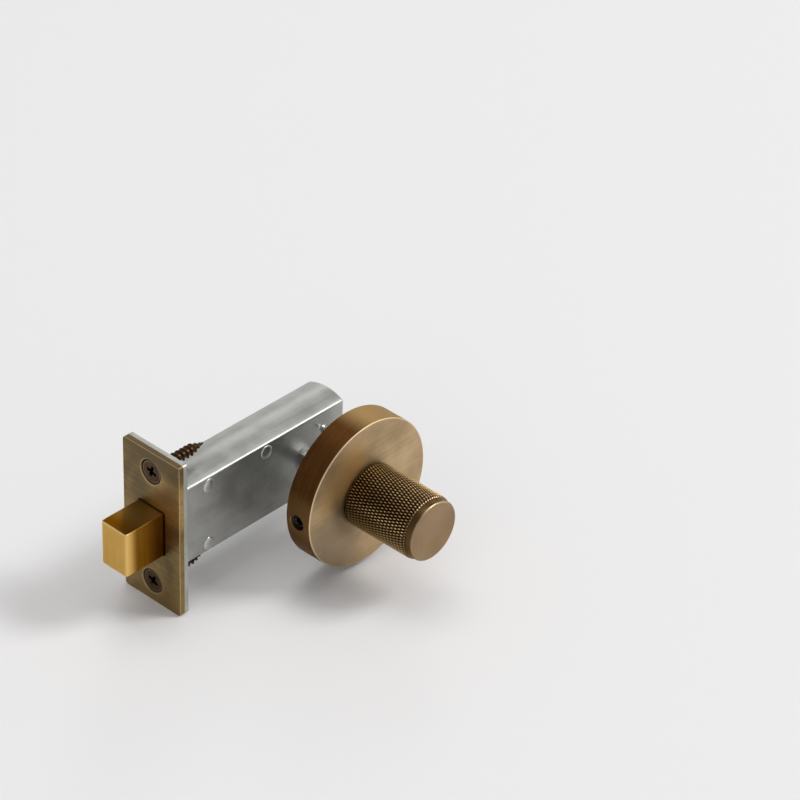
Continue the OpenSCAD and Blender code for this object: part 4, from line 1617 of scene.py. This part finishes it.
    def detent(self) -> None:
        """The bowed leaf spring under the tail."""
        box, thick = NodeBox("detent_spring"), self.spring_thickness
        bow, lift = box.size.x - 2 * self.spring_foot, box.size.z - thick
        shares = [step / self.spring_steps for step in range(self.spring_steps + 1)]
        line = [(box.low.x, box.low.z), *(
            (box.low.x + self.spring_foot + bow * share,
             box.low.z + lift * (1 - math.cos(2 * math.pi * share)) / 2) for share in shares),
            (box.high.x, box.low.z)]
        half, edge = box.size.y / 2, Edge.FINE
        section = rounded([(-half, 0, edge), (half, 0, edge), (half, thick, edge),
                           (-half, thick, edge)], steps=2)
        Solid.loft([[(x, box.middle.y + across, z + up) for across, up in section]
                    for x, z in line]).piece(
                        "detent_spring_bowed", self.body, STEEL_SPRING, "detent_spring")

    def build(self) -> None:
        """Builds the case and what is fixed in it."""
        self.half(self.near, -1, "case_near_half_pressed", "case_near_half")
        self.half(self.far, 1, "case_far_half_pressed", "case_far_half")
        self.rivets()
        self.guide()
        self.detent()


@dataclass
class BoltWorks:
    """The bolt and its tail, and the follower and crank that drive them."""

    lock_y: float
    bolt_body: str = "bolt_body"
    turn_body: str = "turn"
    throw: float = 16.0
    upright_edge: float = 0.9
    rivet_radius: float = 1.5
    tail_gap: float = 0.05
    tail_half: float = 7.0
    slot_end: float = 2.6
    slot_wall: float = 1.0
    fork_half: float = 5.4
    fork_gap: float = 0.4
    notch: float = 0.8
    notch_inset: float = 2.3
    hub_radius: float = 6.8
    journal_radius: float = 5.0
    journal_length: float = 1.5
    arm_far: float = 0.8
    arm_wall: float = 0.9
    crank_half: float = 45.0
    pin_radius: float = 1.5
    square_hole: float = 5.2
    box: NodeBox = box_of("bolt")
    tail: NodeBox = box_of("bolt_tail")
    pin: NodeBox = box_of("crank_pin")

    def rivet_sites(self) -> list[Matrix]:
        """The places of the lower and the upper rivet through the bolt and its tail."""
        box, r = NodeBox("bolt_rivets"), self.rivet_radius
        return [across_lock(box.middle.x, z, self.lock_y) for z in (box.low.z + r, box.high.z - r)]

    def _rivet_holes(self) -> list[Solid]:
        """Cutters for the two rivet holes."""
        return [bar(self.rivet_radius, -FAR, FAR, steps=40).moved(site)
                for site in self.rivet_sites()]

    def bolt(self) -> None:
        """The solid brass bolt, with rounded upright edges and fine rims."""
        length, width, gap = self.box.size.x, self.box.size.y, self.tail_gap
        bolt = Solid.prism(
            lambda inset: rectangle(length - 2 * inset, width - 2 * inset,
                                    self.upright_edge - inset, steps=8),
            self.box.low.z, self.box.high.z, Edge.SOFT, Edge.SOFT)
        bolt.moved(Matrix.Translation((self.box.middle.x, self.lock_y, 0)))
        slot = box_between((self.tail.low.x - gap, self.tail.low.y - gap, -FAR),
                           (self.box.high.x + PAST, self.tail.high.y + gap, FAR))
        bolt.cut(slot, *self._rivet_holes()).piece(
            "bolt_satin", self.bolt_body, BOLT_BRASS, "bolt")

    def tail_strip(self) -> None:
        """The steel tail, forked round the follower, with its slot and two notches."""
        low, high = self.tail.low.y, self.tail.high.y
        near, far = low - PAST, high + PAST
        end, top, pin = self.tail.high.x, self.tail.high.z, self.pin.middle.x
        slot = end - pin - self.slot_end
        fork = -self.throw - self.hub_radius - self.fork_gap
        strip = box_between((self.tail.low.x, low, -self.tail_half), (end, high, self.tail_half))
        hook = box_between((2 * pin - end, low, 0), (end, high, top))
        cuts = [box_between((fork, near, -self.fork_half), (end + PAST, far, self.fork_half)),
                box_between((pin - slot, near, 0), (pin + slot, far, top - self.slot_wall))]
        half = self.notch * math.sqrt(2) / 2
        for x in (fork - self.notch_inset, fork - self.notch_inset - self.throw):
            place = Matrix.Translation((x, 0, -self.tail_half)) @ Matrix.Rotation(math.pi / 4, 4, "Y")
            cuts.append(box_between((-half, near, -half), (half, far, half)).moved(place))
        strip.joined(hook).cut(*cuts, *self._rivet_holes()).eased(Edge.FINE, least_angle=40.0).piece(
            "bolt_tail_stamped", self.bolt_body, STEEL_DRAWN, "bolt_tail")

    def rivets(self) -> None:
        """The two rivets through the bolt, dressed flush."""
        half = self.box.size.y / 2
        for site, word in zip(self.rivet_sites(), ("lower", "upper")):
            bar(self.rivet_radius, -half, half, Edge.HAIR, steps=48).moved(site).piece(
                f"bolt_rivet_{word}", self.bolt_body, STEEL_RIVET, "bolt_rivets")

    def follower(self) -> None:
        """The hub on the spindle with its crank arm, and the pin in the arm."""
        half, pin, y = NodeBox("follower").size.y / 2, self.pin, self.lock_y
        reach, arm_near = half - self.journal_length, pin.low.y - y
        hub = bar(self.journal_radius, -half, half, Edge.ROUND, steps=96).joined(
            bar(self.hub_radius, -reach, self.arm_far, Edge.SOFT, steps=96),
            bar(self.hub_radius, pin.high.y - y, reach, Edge.SOFT, steps=96)).moved(across_lock(0, 0, y))
        crank, arm = math.hypot(pin.middle.x, pin.middle.z), self.pin_radius + self.arm_wall
        knuckle = bar(arm, arm_near, self.arm_far).moved(across_lock(0, crank, y))
        arm_bar = box_between((-arm, y + arm_near, 0), (arm, y + self.arm_far, crank)).joined(knuckle)
        arm_bar.moved(Matrix.Rotation(math.radians(-self.crank_half), 4, "Y"))
        square = self.square_hole / 2
        hole = box_between((-square, y - FAR, -square), (square, y + FAR, square))
        eye = bar(self.pin_radius, -FAR, FAR, steps=48).moved(
            across_lock(pin.middle.x, pin.middle.z, y))
        hub.joined(arm_bar).cut(hole, eye).piece(
            "follower_cast", self.turn_body, CAST_ZINC, "follower")
        bar(self.pin_radius, 0, pin.size.y, Edge.LIGHT, steps=48).moved(
            across_lock(pin.middle.x, pin.middle.z, pin.low.y)).piece(
                "crank_pin_turned", self.turn_body, STEEL_DRAWN, "crank_pin")

    def build(self) -> None:
        """Builds the bolt and what drives it."""
        self.bolt()
        self.tail_strip()
        self.rivets()
        self.follower()


@dataclass
class Studio:
    """The plain floor, the soft lights and the camera."""

    part_low: float
    floor_gap: float = 0.02
    floor_half: float = 6.0
    floor_colour: str = "efeeee"
    camera_place: tuple[float, float, float] = (-0.63056, -0.59137, 0.63122)
    azimuth: float = -47.942
    elevation: float = 34.763
    roll: float = 2.004
    lens: float = 152.37
    sensor: float = 36.0
    clip: Point2 = (0.01, 50.0)
    room_greys: tuple[Point2, ...] = ((0.0, 0.8), (0.14, 0.76), (0.3, 0.42), (0.55, 0.33),
                                      (0.8, 0.33), (1.0, 0.5))

    def floor(self) -> None:
        """The pale floor that the part stands on."""
        half, height = self.floor_half, (self.part_low - self.floor_gap) * MM
        mesh = bmesh.new()
        mesh.faces.new([mesh.verts.new((x * half, y * half, height))
                        for x, y in ((-1, -1), (1, -1), (1, 1), (-1, 1))])
        made = Solid(mesh).as_object("floor")
        shader = Shader(bpy.data.materials.new("floor_paper"))
        made.data.materials.append(shader.finish(self.floor_colour, metallic=0.0, roughness=0.9))

    def lamp(self, name: str, place: Corner, size: float, power: float) -> None:
        """One soft square lamp that looks at the part.

        Args:
            name: The lamp's name.
            place: Where it stands, in metres.
            size: The length of its side in metres.
            power: Its power in watts.
        """
        data = bpy.data.lights.new(name, "AREA")
        data.shape, data.size, data.energy = "SQUARE", size, power
        made = placed(name, data)
        made.location = place
        made.rotation_euler = (-Vector(place)).to_track_quat("-Z", "Y").to_euler()

    def world(self) -> None:
        """A room that is pale at the horizon and dimmer above, and a little lighter at the right."""
        room = bpy.data.worlds.new("room")
        bpy.context.scene.world = room
        shader = Shader(room)
        aim = shader.split(shader.node("ShaderNodeTexCoord", output="Generated"))
        stops = [(place, (grey, grey, grey, 1.0)) for place, grey in self.room_greys]
        level = shader.node("ShaderNodeValToRGB", {"stops": stops}, {"Fac": aim.z})
        rightwards = aim.x.rise(-0.4, 0.8, 1.0, 1.35)
        air = shader.node("ShaderNodeBackground", None, {"Color": level, "Strength": rightwards})
        shader.node("ShaderNodeOutputWorld", None, {"Surface": air})

    def camera(self) -> None:
        """The camera, where it stood for the photograph, with the photograph's frame."""
        data = bpy.data.cameras.new("camera")
        data.lens, data.sensor_width = self.lens, self.sensor
        data.clip_start, data.clip_end = self.clip
        a, e = math.radians(self.azimuth), math.radians(self.elevation)
        back = Vector((math.sin(a) * math.cos(e), -math.cos(a) * math.cos(e), math.sin(e)))
        level = (-back).to_track_quat("-Z", "Y").to_matrix().to_4x4()
        made = placed("camera", data)
        made.matrix_world = (Matrix.Translation(self.camera_place) @ level
                             @ Matrix.Rotation(math.radians(self.roll), 4, "Z"))
        bpy.context.scene.camera = made

    def build(self) -> None:
        """Sets up the whole studio."""
        self.camera()
        self.floor()
        self.lamp("key", (2.8, -2.7, 3.9), size=1.8, power=132.0)
        self.lamp("overhead", (0.2, 0.7, 3.8), size=2.0, power=26.0)
        self.lamp("fill", (-2.4, -1.0, 1.6), size=1.6, power=8.8)
        self.lamp("window", (3.6, 2.9, 2.4), size=1.4, power=16.0)
        self.world()
        bpy.context.scene.view_settings.view_transform = "Standard"


def corners(bounds: tuple[Vector, Vector]) -> list[list[float]]:
    """A box's two corners as plain lists."""
    return [list(corner) for corner in bounds]


def main() -> None:
    """Builds the part's pieces and the studio."""
    logging.basicConfig(level=logging.INFO, format="%(message)s")
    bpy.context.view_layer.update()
    Rose().build()
    Turn().build()
    plates = EdgePlates()
    plates.build()
    LockCase().build()
    BoltWorks(plates.front.middle.y).build()
    Studio(plates.front.low.z).build()


if __name__ == "__main__":
    main()
